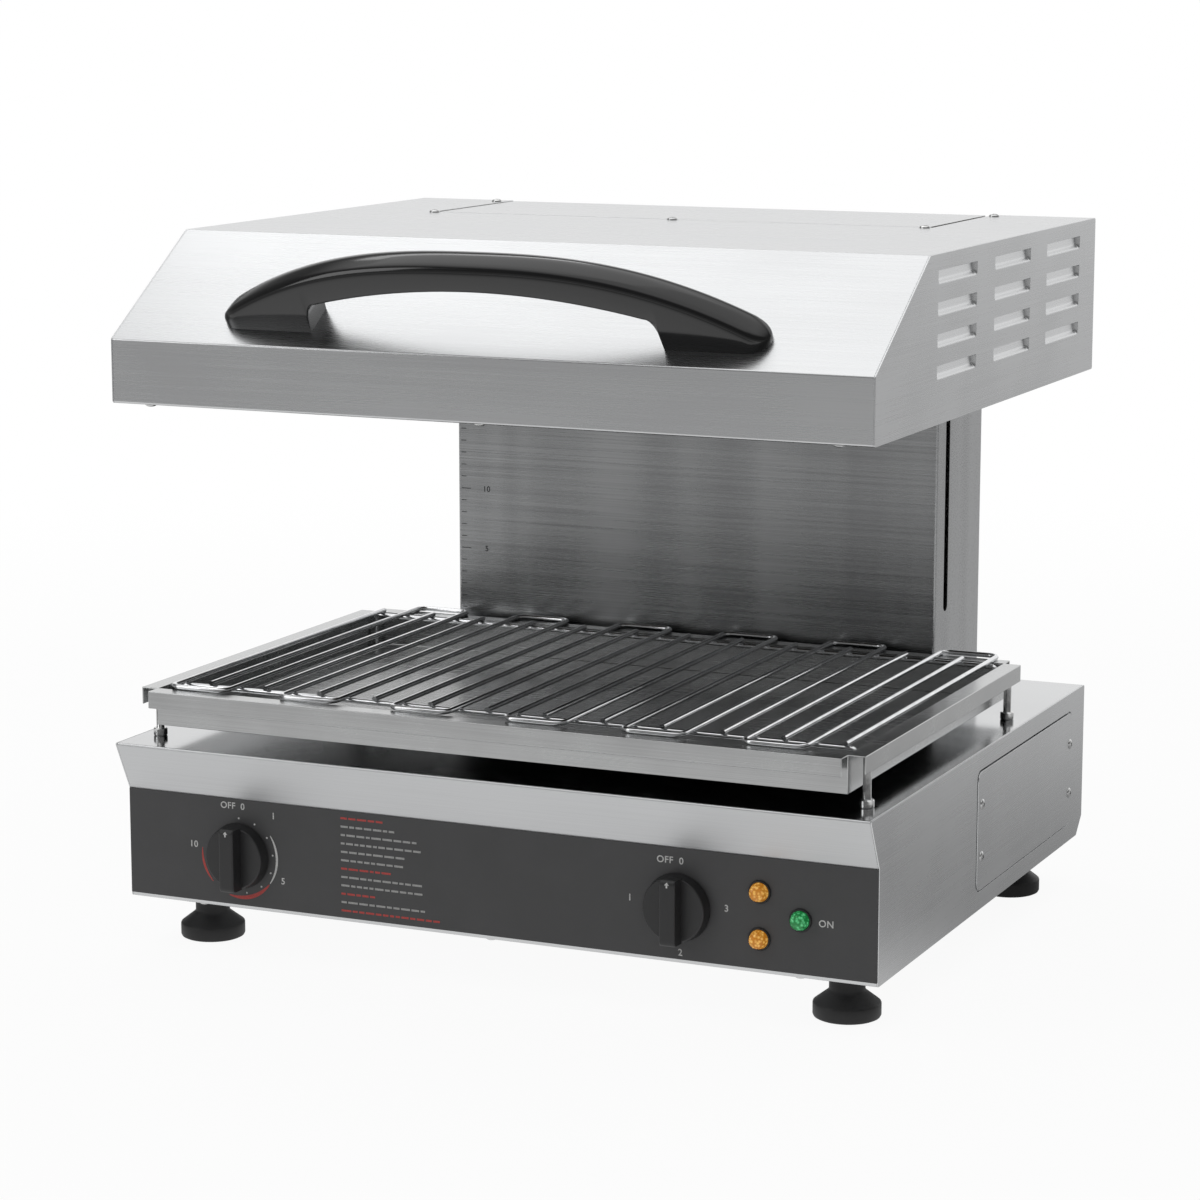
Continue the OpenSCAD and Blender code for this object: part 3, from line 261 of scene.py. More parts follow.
# glow makes each lens give off light of its own: a painted highlight
orangeLens = lensPlastic("acrylicOrange", {"dark": "#C07A20", "light": "#FFCB6B", "cell": 2.3, "relief": 0.2,
                                           "glow": 0.4})
greenLens = lensPlastic("acrylicGreen", {"dark": "#1A7F40", "light": "#6BDF97", "cell": 2.3, "relief": 0.2,
                                         "glow": 0.35})
fibreWhite = ceramicFibre("ceramicFibreBlanket", {"dark": "#D5D2CB", "light": "#EFEDE8", "lump": 7, "relief": 1.2})
whiteInk = printInk("screenInkWhite", "#E4E4E2")
paleInk = printInk("screenInkPale", "#B8B8B6")
redInk = printInk("screenInkRed", "#CC4A45")
greyInk = printInk("screenInkGrey", "#3E4042")
print("materials ready")


# ------ mesh helpers
def newPiece(name, points, faces, materials, indices=None):
    # a mesh from points in millimetres, doubles merged and faces turned outwards
    shape = bmesh.new()
    corners = [shape.verts.new([c * mm for c in p]) for p in points]
    for number, face in enumerate(faces):
        made = shape.faces.new([corners[k] for k in face])
        made.material_index = indices[number] if indices else 0
    bmesh.ops.remove_doubles(shape, verts=shape.verts, dist=1e-6)
    bmesh.ops.recalc_face_normals(shape, faces=shape.faces)
    mesh = bpy.data.meshes.new(name)
    shape.to_mesh(mesh)
    shape.free()
    for material in materials:
        mesh.materials.append(material)
    piece = bpy.data.objects.new(name, mesh)
    scene.collection.objects.link(piece)
    return piece


def joined(parts):  # several (points, faces) as one
    points, faces = [], []
    for partPoints, partFaces in parts:
        faces += [[k + len(points) for k in face] for face in partFaces]
        points += partPoints
    return points, faces


def moved(part, matrix):
    return [tuple(matrix @ Vector(p)) for p in part[0]], part[1]


def boxPart(low, high):
    points = [(x, y, z) for x in (low[0], high[0]) for y in (low[1], high[1]) for z in (low[2], high[2])]
    return points, [(0, 1, 3, 2), (4, 6, 7, 5), (0, 4, 5, 1), (2, 3, 7, 6), (0, 2, 6, 4), (1, 5, 7, 3)]


def turnedPart(profile, count, sharp=False):
    # a profile of (radius, height) turned about Z; a radius of 0 closes a pole
    points, faces, rings = [], [], []
    for radius, height in profile:
        if radius < 1e-6:
            rings.append([len(points)])
            points.append((0, 0, height))
            continue
        rings.append(list(range(len(points), len(points) + count)))
        points += [(radius * math.cos(math.tau * (k + 0.5) / count), radius * math.sin(math.tau * (k + 0.5) / count),
                    height) for k in range(count)]
    for a, b in zip(rings, rings[1:]):
        for k in range(count):
            face = [a[k % len(a)], a[(k + 1) % len(a)], b[(k + 1) % len(b)], b[k % len(b)]]
            face = [v for i, v in enumerate(face) if v not in face[:i]]
            faces.append(face)
    return points, faces


def roundCorners(points, radius, steps=4, closed=False):
    # (place, left-hand normal) pairs along a path whose corners are rounded; a corner (x, y, r) has its own radius
    result, count = [], len(points)
    for i in range(count):
        here = Vector(points[i][:2])
        size = points[i][2] if len(points[i]) > 2 else radius
        before = Vector(points[(i - 1) % count][:2])
        after = Vector(points[(i + 1) % count][:2])
        if not closed and i in (0, count - 1):
            way = (after - here if i == 0 else here - before).normalized()
            result.append((here, Vector((-way.y, way.x))))
            continue
        into, out = (here - before).normalized(), (after - here).normalized()
        turn = math.atan2(into.x * out.y - into.y * out.x, into.dot(out))
        side = math.copysign(1, turn)
        start = here - into * size * math.tan(abs(turn) / 2)
        centre = start + Vector((-into.y, into.x)) * size * side
        for k in range(steps + 1):
            angle = turn * k / steps
            way = Vector((into.x * math.cos(angle) - into.y * math.sin(angle),
                          into.x * math.sin(angle) + into.y * math.cos(angle)))
            left = Vector((-way.y, way.x))
            result.append((centre - left * size * side, left))
    return result


def foldedPart(path, span, sheet, fold, along="X", closed=False, steps=4):
    # sheet metal bent along a path and drawn out over span; the path is the outer face, the metal lies to its right
    spots = roundCorners(path, fold, steps, closed)
    points, faces = [], []
    for w in span:
        for place, left in spots:
            for p in (place, place - left * sheet):
                points.append((w, p.x, p.y) if along == "X" else (p.x, p.y, w))
    count = len(spots)
    far = 2 * count
    for i in range(count if closed else count - 1):
        a, b = 2 * i, 2 * ((i + 1) % count)
        faces += [(a, b, b + far, a + far), (a + 1, a + 1 + far, b + 1 + far, b + 1),
                  (a, a + 1, b + 1, b), (a + far, b + far, b + 1 + far, a + 1 + far)]
    if not closed:
        last = 2 * count - 2
        faces += [(0, far, far + 1, 1), (last, last + 1, last + 1 + far, last + far)]
    return points, faces


def platePiece(name, outlines, sheet, edge, matrix, material):
    # a flat sheet with softened edges from closed outlines in its own plane; inner outlines are holes
    curve = bpy.data.curves.new(name, "CURVE")
    curve.dimensions = "2D"
    curve.fill_mode = "BOTH"
    curve.extrude = sheet / 2 * mm - edge * mm
    curve.bevel_depth = edge * mm
    curve.offset = -edge * mm
    curve.bevel_resolution = 1
    for outline in outlines:
        spline = curve.splines.new("POLY")
        spline.points.add(len(outline) - 1)
        for spot, p in zip(spline.points, outline):
            spot.co = (p[0] * mm, p[1] * mm, 0, 1)
        spline.use_cyclic_u = True
    holder = bpy.data.objects.new(name, curve)
    scene.collection.objects.link(holder)
    mesh = bpy.data.meshes.new_from_object(holder.evaluated_get(bpy.context.evaluated_depsgraph_get()))
    bpy.data.objects.remove(holder)
    shape = bmesh.new()
    shape.from_mesh(mesh)
    bmesh.ops.remove_doubles(shape, verts=shape.verts, dist=1e-6)
    bmesh.ops.dissolve_limit(shape, angle_limit=0.001, verts=shape.verts, edges=shape.edges)
    bmesh.ops.recalc_face_normals(shape, faces=shape.faces)
    shape.to_mesh(mesh)
    shape.free()
    mesh.transform(matrix)
    mesh.name = name
    mesh.materials.clear()
    mesh.materials.append(material)
    piece = bpy.data.objects.new(name, mesh)
    scene.collection.objects.link(piece)
    return piece


def outline(points, radius, steps=3):
    return [tuple(p) for p, _ in roundCorners(points, radius, steps, closed=True)]


def rectangle(low, high, radius, steps=5):
    return outline([(low[0], low[1]), (high[0], low[1]), (high[0], high[1]), (low[0], high[1])], radius, steps)


def sideMatrix(x, facing):  # carries a plate drawn in (Y, Z) to a plane across X
    return Matrix(((0, 0, 1, (x - facing * 0) * mm), (1, 0, 0, 0), (0, 1, 0, 0), (0, 0, 0, 1)))


def absorb(piece, *others):  # others become part of piece
    with bpy.context.temp_override(active_object=piece, selected_editable_objects=[piece, *others]):
        bpy.ops.object.join()
    return piece


def frozen(piece):  # modifiers become part of the mesh
    mesh = bpy.data.meshes.new_from_object(piece.evaluated_get(bpy.context.evaluated_depsgraph_get()))
    piece.modifiers.clear()
    piece.data = mesh
    return piece


def cutAway(piece, *parts):  # takes closed parts out of a piece
    for part in parts:
        cutter = newPiece("cutter", *part, [])
        tool = piece.modifiers.new("cut", "BOOLEAN")
        tool.object = cutter
        tool.solver = "EXACT"
        frozen(piece)
        bpy.data.objects.remove(cutter)
    return piece


def softened(piece, edge=0.4, angle=35, segments=2):
    # small radii on the sharp edges, flat faces kept flat in the shading
    piece.data.shade_smooth()
    if edge:
        bevel = piece.modifiers.new("edges", "BEVEL")
        bevel.width = edge * mm
        bevel.segments = segments
        bevel.limit_method = "ANGLE"
        bevel.angle_limit = math.radians(angle)
        bevel.harden_normals = True
    else:
        piece.data.set_sharp_from_angle(angle=math.radians(angle))
    piece.modifiers.new("flats", "WEIGHTED_NORMAL").keep_sharp = True
    return piece


def dressed(node, material, edge=0.4, name=None):
    # a copy of a CAD node with merged faces and soft edges, which then stands for it
    mesh = nodes[node].data.copy()
    shape = bmesh.new()
    shape.from_mesh(mesh)
    bmesh.ops.remove_doubles(shape, verts=shape.verts, dist=2e-6)
    bmesh.ops.dissolve_limit(shape, angle_limit=math.radians(1), verts=shape.verts, edges=shape.edges)
    shape.to_mesh(mesh)
    shape.free()
    for layer in [a.name for a in mesh.attributes if a.name in ("custom_normal", "sharp_face")]:
        mesh.attributes.remove(mesh.attributes[layer])
    mesh.materials.clear()
    mesh.materials.append(material)
    piece = bpy.data.objects.new(name or node + "_dressed", mesh)
    scene.collection.objects.link(piece)
    return softened(piece, edge)


def settle(piece, body, slot, *replaced):
    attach(piece, body)
    if replaced:
        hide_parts(*replaced)
    return piece


# ------ geometry node helpers
def newTree(name, sockets):
    tree = bpy.data.node_groups.new(name, "GeometryNodeTree")
    tree.interface.new_socket("Geometry", in_out="INPUT", socket_type="NodeSocketGeometry")
    for label, kind, value in sockets:
        socket = tree.interface.new_socket(label, in_out="INPUT", socket_type="NodeSocket" + kind)
        if value is not None:
            socket.default_value = value
    tree.interface.new_socket("Geometry", in_out="OUTPUT", socket_type="NodeSocketGeometry")
    return tree, addNode(tree, "NodeGroupInput").outputs


def closeTree(tree, geometry, material):
    solid = addNode(tree, "GeometryNodeRealizeInstances", {"Geometry": geometry}).outputs[0]
    painted = addNode(tree, "GeometryNodeSetMaterial", {"Geometry": solid, "Material": material}).outputs[0]
    addNode(tree, "NodeGroupOutput", {"Geometry": painted})


def grown(name, tree, values, start):
    # runs a tree on a start mesh and keeps the result as a plain mesh
    piece = bpy.data.objects.new(name, start)
    scene.collection.objects.link(piece)
    modifier = piece.modifiers.new(tree.name, "NODES")
    modifier.node_group = tree
    for item in tree.interface.items_tree:
        if item.in_out == "INPUT" and item.name in values:
            modifier[item.identifier] = values[item.name]
    return frozen(piece)


def startPoints(name, spots):
    # loose points with a facing, a size and a turn, which the placing tree reads
    mesh = bpy.data.meshes.new(name)
    mesh.from_pydata([[c * mm for c in spot["at"]] for spot in spots], [], [])
    for key, kind, plain in (("facing", "FLOAT_VECTOR", (0, 0, 1)), ("size", "FLOAT_VECTOR", (1, 1, 1)),
                             ("turn", "FLOAT", 0.0)):
        layer = mesh.attributes.new(key, kind, "POINT")
        for item, spot in zip(layer.data, spots):
            setattr(item, "value" if kind == "FLOAT" else "vector", spot.get(key, plain))
    return mesh


def namedField(tree, name, kind):
    return addNode(tree, "GeometryNodeInputNamedAttribute", {"Name": name}, data_type=kind).outputs["Attribute"]


def makePlacingTree():
    tree, given = newTree("placedParts", [("Part", "Object", None), ("Material", "Material", None)])
    part = addNode(tree, "GeometryNodeObjectInfo", {"Object": given["Part"]})
    aimed = addNode(tree, "FunctionNodeAlignRotationToVector", {"Vector": namedField(tree, "facing", "FLOAT_VECTOR")},
                    axis="Z")
    spin = addNode(tree, "FunctionNodeAxisAngleToRotation", {"Axis": (0, 0, 1),
                                                             "Angle": namedField(tree, "turn", "FLOAT")})
    turned = addNode(tree, "FunctionNodeRotateRotation", {"Rotation": aimed.outputs[0],
                                                          "Rotate By": spin.outputs[0]}, rotation_space="LOCAL")
    many = addNode(tree, "GeometryNodeInstanceOnPoints", {
        "Points": given["Geometry"], "Instance": part.outputs["Geometry"], "Rotation": turned.outputs[0],
        "Scale": namedField(tree, "size", "FLOAT_VECTOR")})
    closeTree(tree, many.outputs[0], given["Material"])
    return tree


def makeWireTree():
    tree, given = newTree("bentWire", [("Diameter", "Float", 0.004), ("Sides", "Int", 14), ("Bends", "Int", 6),
                                       ("Material", "Material", None)])
    line = addNode(tree, "GeometryNodeMeshToCurve", {"Mesh": given["Geometry"]}).outputs[0]
    bent = addNode(tree, "GeometryNodeFilletCurve", {"Curve": line, "Radius": namedField(tree, "corner", "FLOAT"),
                                                     "Count": given["Bends"], "Limit Radius": True}, mode="POLY")
    half = addNode(tree, "ShaderNodeMath", {0: given["Diameter"], 1: 0.5}, operation="MULTIPLY")
    ring = addNode(tree, "GeometryNodeCurvePrimitiveCircle", {"Resolution": given["Sides"], "Radius": half.outputs[0]})
    rod = addNode(tree, "GeometryNodeCurveToMesh", {"Curve": bent.outputs[0], "Profile Curve": ring.outputs[0],
                                                    "Fill Caps": True})
    closeTree(tree, rod.outputs[0], given["Material"])
    return tree


def makeLouvreTree():
    # one pressed pocket, deepest along its open upper edge, repeated over columns and rows
    tree, given = newTree("pressedLouvres", [
        ("Length", "Float", 0.086), ("Height", "Float", 0.01), ("Depth", "Float", 0.004), ("Rise", "Float", 0.004),
        ("End", "Float", 0.005), ("Columns", "Int", 3), ("Rows", "Int", 4), ("Step Along", "Float", 0.1275),
        ("Step Up", "Float", 0.0223), ("Place", "Vector", None), ("Turn", "Vector", None),
        ("Material", "Material", None)])

    def sum2(kind, a, b=0.0):
        return addNode(tree, "ShaderNodeMath", {0: a, 1: b}, operation=kind).outputs[0]

    sheet = addNode(tree, "GeometryNodeMeshGrid", {"Size X": given["Length"], "Size Y": given["Height"],
                                                   "Vertices X": 61, "Vertices Y": 13})
    spot = addNode(tree, "ShaderNodeSeparateXYZ", {0: addNode(tree, "GeometryNodeInputPosition").outputs[0]}).outputs
    swing = sum2("SINE", sum2("MULTIPLY", sum2("DIVIDE", spot[0], given["Length"]), math.pi))
    shift = sum2("SUBTRACT", sum2("MULTIPLY", swing, sum2("MULTIPLY", given["Length"], 0.5)), spot[0])
    inFromEnd = sum2("SUBTRACT", sum2("MULTIPLY", given["Length"], 0.5),
                     sum2("ABSOLUTE", sum2("ADD", spot[0], shift)))
    up = sum2("ADD", spot[1], sum2("MULTIPLY", given["Height"], 0.5))
    ends = addNode(tree, "ShaderNodeMapRange", {"Value": inFromEnd, "From Max": given["End"]},
                   interpolation_type="SMOOTHSTEP").outputs[0]
    foot = addNode(tree, "ShaderNodeMapRange", {"Value": up, "From Max": given["Rise"], "To Max": 0.64},
                   interpolation_type="SMOOTHSTEP").outputs[0]
    lean = addNode(tree, "ShaderNodeMapRange", {"Value": up, "From Max": given["Height"], "To Max": 0.36}).outputs[0]
    depth = sum2("MULTIPLY", sum2("MULTIPLY", ends, sum2("ADD", foot, lean)), sum2("MULTIPLY", given["Depth"], -1))
    push = addNode(tree, "ShaderNodeCombineXYZ", {"X": shift, "Z": depth}).outputs[0]
    pocket = addNode(tree, "GeometryNodeSetPosition", {"Geometry": sheet.outputs[0], "Offset": push}).outputs[0]
    wide = sum2("MULTIPLY", given["Step Along"], sum2("SUBTRACT", given["Columns"], 1))
    tall = sum2("MULTIPLY", given["Step Up"], sum2("SUBTRACT", given["Rows"], 1))
    places = addNode(tree, "GeometryNodeMeshGrid", {"Size X": wide, "Size Y": tall, "Vertices X": given["Columns"],
                                                    "Vertices Y": given["Rows"]})
    many = addNode(tree, "GeometryNodeInstanceOnPoints", {"Points": places.outputs[0], "Instance": pocket})
    turn = addNode(tree, "GeometryNodeTransform", {"Geometry": many.outputs[0], "Translation": given["Place"],
                                                   "Rotation": given["Turn"]})
    closeTree(tree, turn.outputs[0], given["Material"])
    return tree


placingTree, wireTree, louvreTree = makePlacingTree(), makeWireTree(), makeLouvreTree()
print("node trees ready")


def template(name, part, edge=0.0):  # a small shape that a tree repeats; it isn't shown itself
    piece = newPiece(name, *part, [])
    piece.data.shade_smooth()
    piece.data.set_sharp_from_angle(angle=math.radians(40))
    scene.collection.objects.unlink(piece)
    return piece


# ------ base
baseForm = {"sheet": 1.2, "fold": 1.7, "rake": 18.8, "fascia": 38, "hem": 13, "chamfer": 14, "edge": 0.5,
            "well": {"half": 192.8, "front": 411.2, "back": 489.6}}  # opening under the column


def baseSection(low, high, form):
    front, rear = form["rake"], high[1] - low[1]
    return [(front, low[2]), (front, high[2] - form["fascia"]), (0, high[2]), (rear, high[2]),
            (rear, low[2] + form["chamfer"]), (rear - form["chamfer"], low[2])]


def makeBaseShell(form):
    low, high = boxOf("base_shell")
    section = baseSection(low, high, form)
    hemmed = [(section[0][0] + form["hem"] + form["sheet"], low[2]), *section,
              (section[-1][0] - form["hem"] - form["sheet"], low[2])]
    part = foldedPart([(lip + y, z) for y, z in hemmed], (low[0], high[0]), form["sheet"], form["fold"])
    piece = newPiece("base_shell_folded", *part, [acrossSteel, topSteel, fasciaSteel])
    well = form["well"]
    cutAway(piece, boxPart((-well["half"], lip + well["front"], high[2] - 5), (well["half"], lip + well["back"], high[2] + 5)))
    for face in piece.data.polygons:
        if face.normal.z > 0.99 and face.center.z > (high[2] - 0.5) * mm:
            face.material_index = 1
        elif face.normal.y < -0.7 and face.center.z > (high[2] - form["fascia"]) * mm:
            face.material_index = 2
    softened(piece, 0.3)
    settle(piece, "base", "stainless", "base_shell")


coverForm = {"radius": 8, "ledge": 9, "gap": 1.1, "proud": 0.7}


def makeBaseSides(form, cover):
    low, high = boxOf("base_shell")
    section = [(lip + y, z) for y, z in baseSection(low, high, form)]
    for side, word in ((1, "right"), (-1, "left")):
        coverLow, coverHigh = boxOf("side_cover_" + word)
        gap = cover["gap"]
        window = rectangle((coverLow[1] - gap, coverLow[2] - gap), (coverHigh[1] + gap, coverHigh[2] + gap),
                           cover["radius"])
        outer = boxOf("side_panel_" + word)[1 if side > 0 else 0][0]
        middle = outer - side * form["sheet"] / 2
        panel = platePiece("side_panel_%s_formed" % word, [outline(section, 1.5), window], form["sheet"],
                           form["edge"], sideMatrix(middle, side), alongSteel)
        ledge = cover["ledge"]
        ring = platePiece("ledge", [
            rectangle((coverLow[1] - ledge, coverLow[2] - ledge), (coverHigh[1] + ledge, coverHigh[2] + ledge), 6),
            rectangle((coverLow[1] + ledge, coverLow[2] + ledge), (coverHigh[1] - ledge, coverHigh[2] - ledge), 6)],
            form["sheet"], 0.1, sideMatrix(middle - side * form["sheet"], side), alongSteel)
        absorb(panel, ring)
        settle(softened(panel, 0), "base", "stainless", "side_panel_" + word)
        lid = platePiece("side_cover_%s_formed" % word, [rectangle(
            (coverLow[1], coverLow[2]), (coverHigh[1], coverHigh[2]), cover["radius"] - gap)], form["sheet"],
            0.45, sideMatrix(middle + side * cover["proud"], side), alongSteel)
        settle(softened(lid, 0), "base", "stainless", "side_cover_" + word)


makeBaseShell(baseForm)
makeBaseSides(baseForm, coverForm)
print("base casing ready")


# ------ fasteners
screwForm = {"head": 8.4, "rise": 2.2, "shank": 3.6, "length": 6, "slot": 0.9, "reach": 2.0, "sink": 1.1}


def makeScrewShape(form):
    # domed head with a cross recess over a plain shank
    r, h = form["head"] / 2, form["rise"]
    dome = [(0, h)] + [(r * math.sin(a), h * 0.25 + h * 0.75 * math.cos(a)) for a in
                       [math.radians(d) for d in (15, 30, 45, 60, 75, 90)]]
    profile = dome + [(r, 0), (form["shank"] / 2, 0), (form["shank"] / 2, -form["length"]), (0, -form["length"])]
    shape = template("screwShape", turnedPart(profile, 24))
    scene.collection.objects.link(shape)
    for wide, deep in ((form["reach"], form["slot"] / 2), (form["slot"] / 2, form["reach"])):
        cutAway(shape, boxPart((-wide, -deep, h - form["sink"]), (wide, deep, h + 1)))
    shape.data.set_sharp_from_angle(angle=math.radians(40))
    scene.collection.objects.unlink(shape)
    return shape


screwShape = makeScrewShape(screwForm)
dice = random.Random(7)  # fixed, so that each screw's cross always points the same way


def islands(node):  # the low and high corners of each loose solid of a node, in millimetres
    shape = bmesh.new()
    shape.from_mesh(nodes[node].data)
    bmesh.ops.remove_doubles(shape, verts=shape.verts, dist=2e-6)
    found, seen = [], set()
    for vert in shape.verts:
        if vert in seen:
            continue
        group, queue = [], [vert]
        seen.add(vert)
        while queue:
            here = queue.pop()
            group.append(here.co.copy())
            for edge in here.link_edges:
                other = edge.other_vert(here)
                if other not in seen:
                    seen.add(other)
                    queue.append(other)
        found.append(([min(p[i] for p in group) / mm for i in range(3)],
                      [max(p[i] for p in group) / mm for i in range(3)]))
    shape.free()
    return found


def screwSpots(node, form):
    # where each screw of a node sits and which way its head faces; the wider end of the solid is the head
    spots = []
    centre = (Vector(cadBox[0]) + Vector(cadBox[1])) / 2 / mm
    for low, high in islands(node):
        size = [high[i] - low[i] for i in range(3)]
        axis = max(range(3), key=lambda i: size[i])
        middle = [(low[i] + high[i]) / 2 for i in range(3)]
        facing = [0, 0, 0]
        facing[axis] = 1 if middle[axis] > (centre[axis] if axis != 2 else 300) else -1
        if node == "hood_screws":
            facing[2] = 1 if middle[2] > 480 else -1
        elif node == "column_screws" and axis == 2:
            facing[2] = 1
        elif node == "base_screws":
            facing[2] = -1
        end = (high if facing[axis] > 0 else low)[axis]
        middle[axis] = end - facing[axis] * form["rise"]
        spots.append({"at": middle, "facing": facing, "turn": dice.uniform(0, math.pi / 2)})
    return spots


def makeScrews(form):
    for node, body, material, slot in (
            ("cover_screws", "base", brightSteel, "bright_steel"), ("base_screws", "base", brightSteel, "bright_steel"),
            ("column_screws", "base", brightSteel, "bright_steel"), ("hood_screws", "hood", brightSteel, "bright_steel")):
        piece = grown(node + "_crossed", placingTree, {"Part": screwShape, "Material": material},
                      startPoints(node, screwSpots(node, form)))
        settle(piece, body, slot, node)


makeScrews(screwForm)
print("screws ready")


# ------ controls
panelForm = {"edge": 0.15, "corner": 0.6}


def makeControlPanel(form):
    low, high = boxOf("control_panel")
    face = Matrix(((1, 0, 0, 0), (0, 0, 1, (low[1] + high[1]) / 2 * mm), (0, 1, 0, 0), (0, 0, 0, 1)))
    piece = platePiece("control_panel_printed", [rectangle((low[0], low[2]), (high[0], high[2]), form["corner"])],
                       high[1] - low[1], form["edge"], face, panelBlack)
    piece.data.flip_normals()
    settle(softened(piece, 0), "base", "panel_black", "control_panel")
    return low[1]


knobForm = {"bar": 12, "tip": 3.0, "round": 1.2, "skirt": 1.4, "sides": 72}


def makeKnob(name, node, form):
    # disc with a soft rim and a grip bar whose flanks lean a little
    low, high = boxOf(node)
    x, z = (low[0] + high[0]) / 2, (low[2] + high[2]) / 2
    radius, disc = (high[0] - low[0]) / 2, 9
    tall = high[1] - low[1]
    r = form["round"]
    arc = [math.radians(a) for a in range(0, 91, 15)]
    profile = [(0, 0), (radius - 0.5, 0), (radius, 0.5)] + [
        (radius - form["skirt"] - r + r * math.cos(a), disc - r + r * math.sin(a)) for a in arc] + [(0, disc)]
    body = turnedPart(profile, form["sides"])
    half = radius - 0.9
    section = outline([(-form["bar"] / 2 - 0.6, disc - 1), (form["bar"] / 2 + 0.6, disc - 1),
                       (form["bar"] / 2, tall, 1.6), (-form["bar"] / 2, tall, 1.6)], 0.01, 5)
    stations = 24
    points, faces = [], []
    for i in range(stations + 1):
        t = -1 + 2 * i / stations
        along = half * math.sin(t * math.pi / 2)
        for u, v in section:
            reach = math.sqrt(max(radius ** 2 - u ** 2, 0)) - 0.6
            drop = max(0, abs(along) - (half - form["tip"])) / form["tip"]
            height = v if v < disc else v - 2.2 * drop ** 2
            points.append((u, max(-reach, min(reach, along)), height))
    count = len(section)
    for i in range(stations):
        for k in range(count):
            a, b = i * count + k, i * count + (k + 1) % count
            faces.append((a, b, b + count, a + count))
    faces += [list(range(count - 1, -1, -1)), list(range(stations * count, stations * count + count))]
    part = joined([body, (points, faces)])
    # local X stays across, local Y goes up, local Z comes out to the front
    out = Matrix(((1, 0, 0, x), (0, 0, -1, high[1]), (0, 1, 0, z), (0, 0, 0, 1)))
    piece = newPiece(name, *moved(part, out), [knobBlack])
    piece.data.shade_smooth()
    piece.data.set_sharp_from_angle(angle=math.radians(42))
    piece.modifiers.new("flats", "WEIGHTED_NORMAL").keep_sharp = True
    face = tall + 0.02
    pointer = [(-0.6, half - 5.4, face), (0.6, half - 5.4, face), (0.6, half - 3.4, face), (1.9, half - 3.4, face),
               (0, half - 1.3, face), (-1.9, half - 3.4, face), (-0.6, half - 3.4, face)]
    return piece, out, pointer


def makeKnobs(form):
    for word in ("timer", "selector"):
        piece, out, pointer = makeKnob(word + "_knob_formed", word + "_knob", form)
        settle(piece, word, "black_plastic", word + "_knob")
        count = len(pointer)
        under = [(p[0], p[1], p[2] - 0.3) for p in pointer]
        faces = [list(range(count)), list(range(2 * count - 1, count - 1, -1))]
        faces += [(k, (k + 1) % count, count + (k + 1) % count, count + k) for k in range(count)]
        mark = newPiece(word + "_pointer", *moved((pointer + under, faces), out), [whiteInk])
        settle(mark, word, "white_plastic")


lampForm = {"rib": 20, "rings": 5, "bulge": 0.35, "bezel": 0.9, "collar": 1.6}


def makeLamps(form):
    # short ribbed cone with a domed front in a thin black bezel
    for node, material, slot in (("lamp_lens_upper", orangeLens, "orange_lens"),
                                 ("lamp_lens_lower", orangeLens, "orange_lens"),
                                 ("lamp_lens_power", greenLens, "green_lens")):
        low, high = boxOf(node)
        x, z = (low[0] + high[0]) / 2, (low[2] + high[2]) / 2
        radius, tall = (high[0] - low[0]) / 2, high[1] - low[1]
        out = Matrix(((1, 0, 0, x), (0, 0, -1, high[1]), (0, 1, 0, z), (0, 0, 0, 1)))
        cap = radius - 1.8
        profile = [(radius - 0.6, 0), (radius - 0.6, 1.8), (cap + 0.3, tall * 0.62), (cap, tall * 0.72)]
        profile += [(cap * math.cos(a), tall * 0.72 + tall * 0.27 * math.sin(a)) for a in
                    [math.radians(d) for d in (18, 36, 54, 72)]]
        points, faces = turnedPart([(0, 0)] + profile + [(0, tall * 0.99)], 2 * form["rib"])
        ridged = []
        for k, (px, py, pz) in enumerate(points):
            reach = math.hypot(px, py)
            swell = form["bulge"] if reach > 1 and pz > 2 and k % 2 else 0
            grow = 1 - swell / max(reach, 1)
            ridged.append((px * grow, py * grow, pz))
        lens = newPiece(node + "_ribbed", *moved((ridged, faces), out), [material])
        settle(lens, "base", slot, node)
        rim = [(radius - 0.7, 0), (radius + form["bezel"], 0), (radius + form["bezel"], form["collar"] - 0.6),
               (radius + form["bezel"] - 0.5, form["collar"]), (radius - 0.2, form["collar"]),
               (radius - 0.7, form["collar"] - 0.5)]
        bezel = newPiece(node + "_bezel", *moved(turnedPart(rim + [rim[0]], 40), out), [knobBlack])
        settle(softened(bezel, 0, 40), "base", "black_plastic")


panelFace = makeControlPanel(panelForm)
makeKnobs(knobForm)
makeLamps(lampForm)


# The print: dots and arcs round the timer, plain numbers, OFF and ON, and rows of plain dashes
printForm = {"raise": 0.06, "dotRing": 28.6, "dot": 0.75, "arcRing": 32.0, "letters": 6.9}


def flatStrip(points, width):  # a thin closed band along points in the panel's plane, width given at each
    top, low = [], []
    for i, (x, z) in enumerate(points):
        a, b = points[max(i - 1, 0)], points[min(i + 1, len(points) - 1)]
        way = Vector((b[0] - a[0], b[1] - a[1])).normalized() * width(i / (len(points) - 1)) / 2
        top.append((x - way.y, z + way.x))
        low.append((x + way.y, z - way.x))
    return [top, low]


def raisedBand(bands, depth):
    parts = []
    for top, low in bands:
        count = len(top)
        points = [(x, y, z) for y in (panelFace - depth, panelFace + 0.05) for x, z in top + low]
        faces = []
        for i in range(count - 1):
            a, b, c, d = i, i + 1, count + i + 1, count + i
            far = 2 * count
            faces += [(a, b, c, d), (a + far, d + far, c + far, b + far), (a, a + far, b + far, b),
                      (d, c, c + far, d + far)]
        faces += [(0, count, 3 * count, 2 * count), (count - 1, 3 * count - 1, 4 * count - 1, 2 * count - 1)]
        parts.append((points, faces))
    return joined(parts)


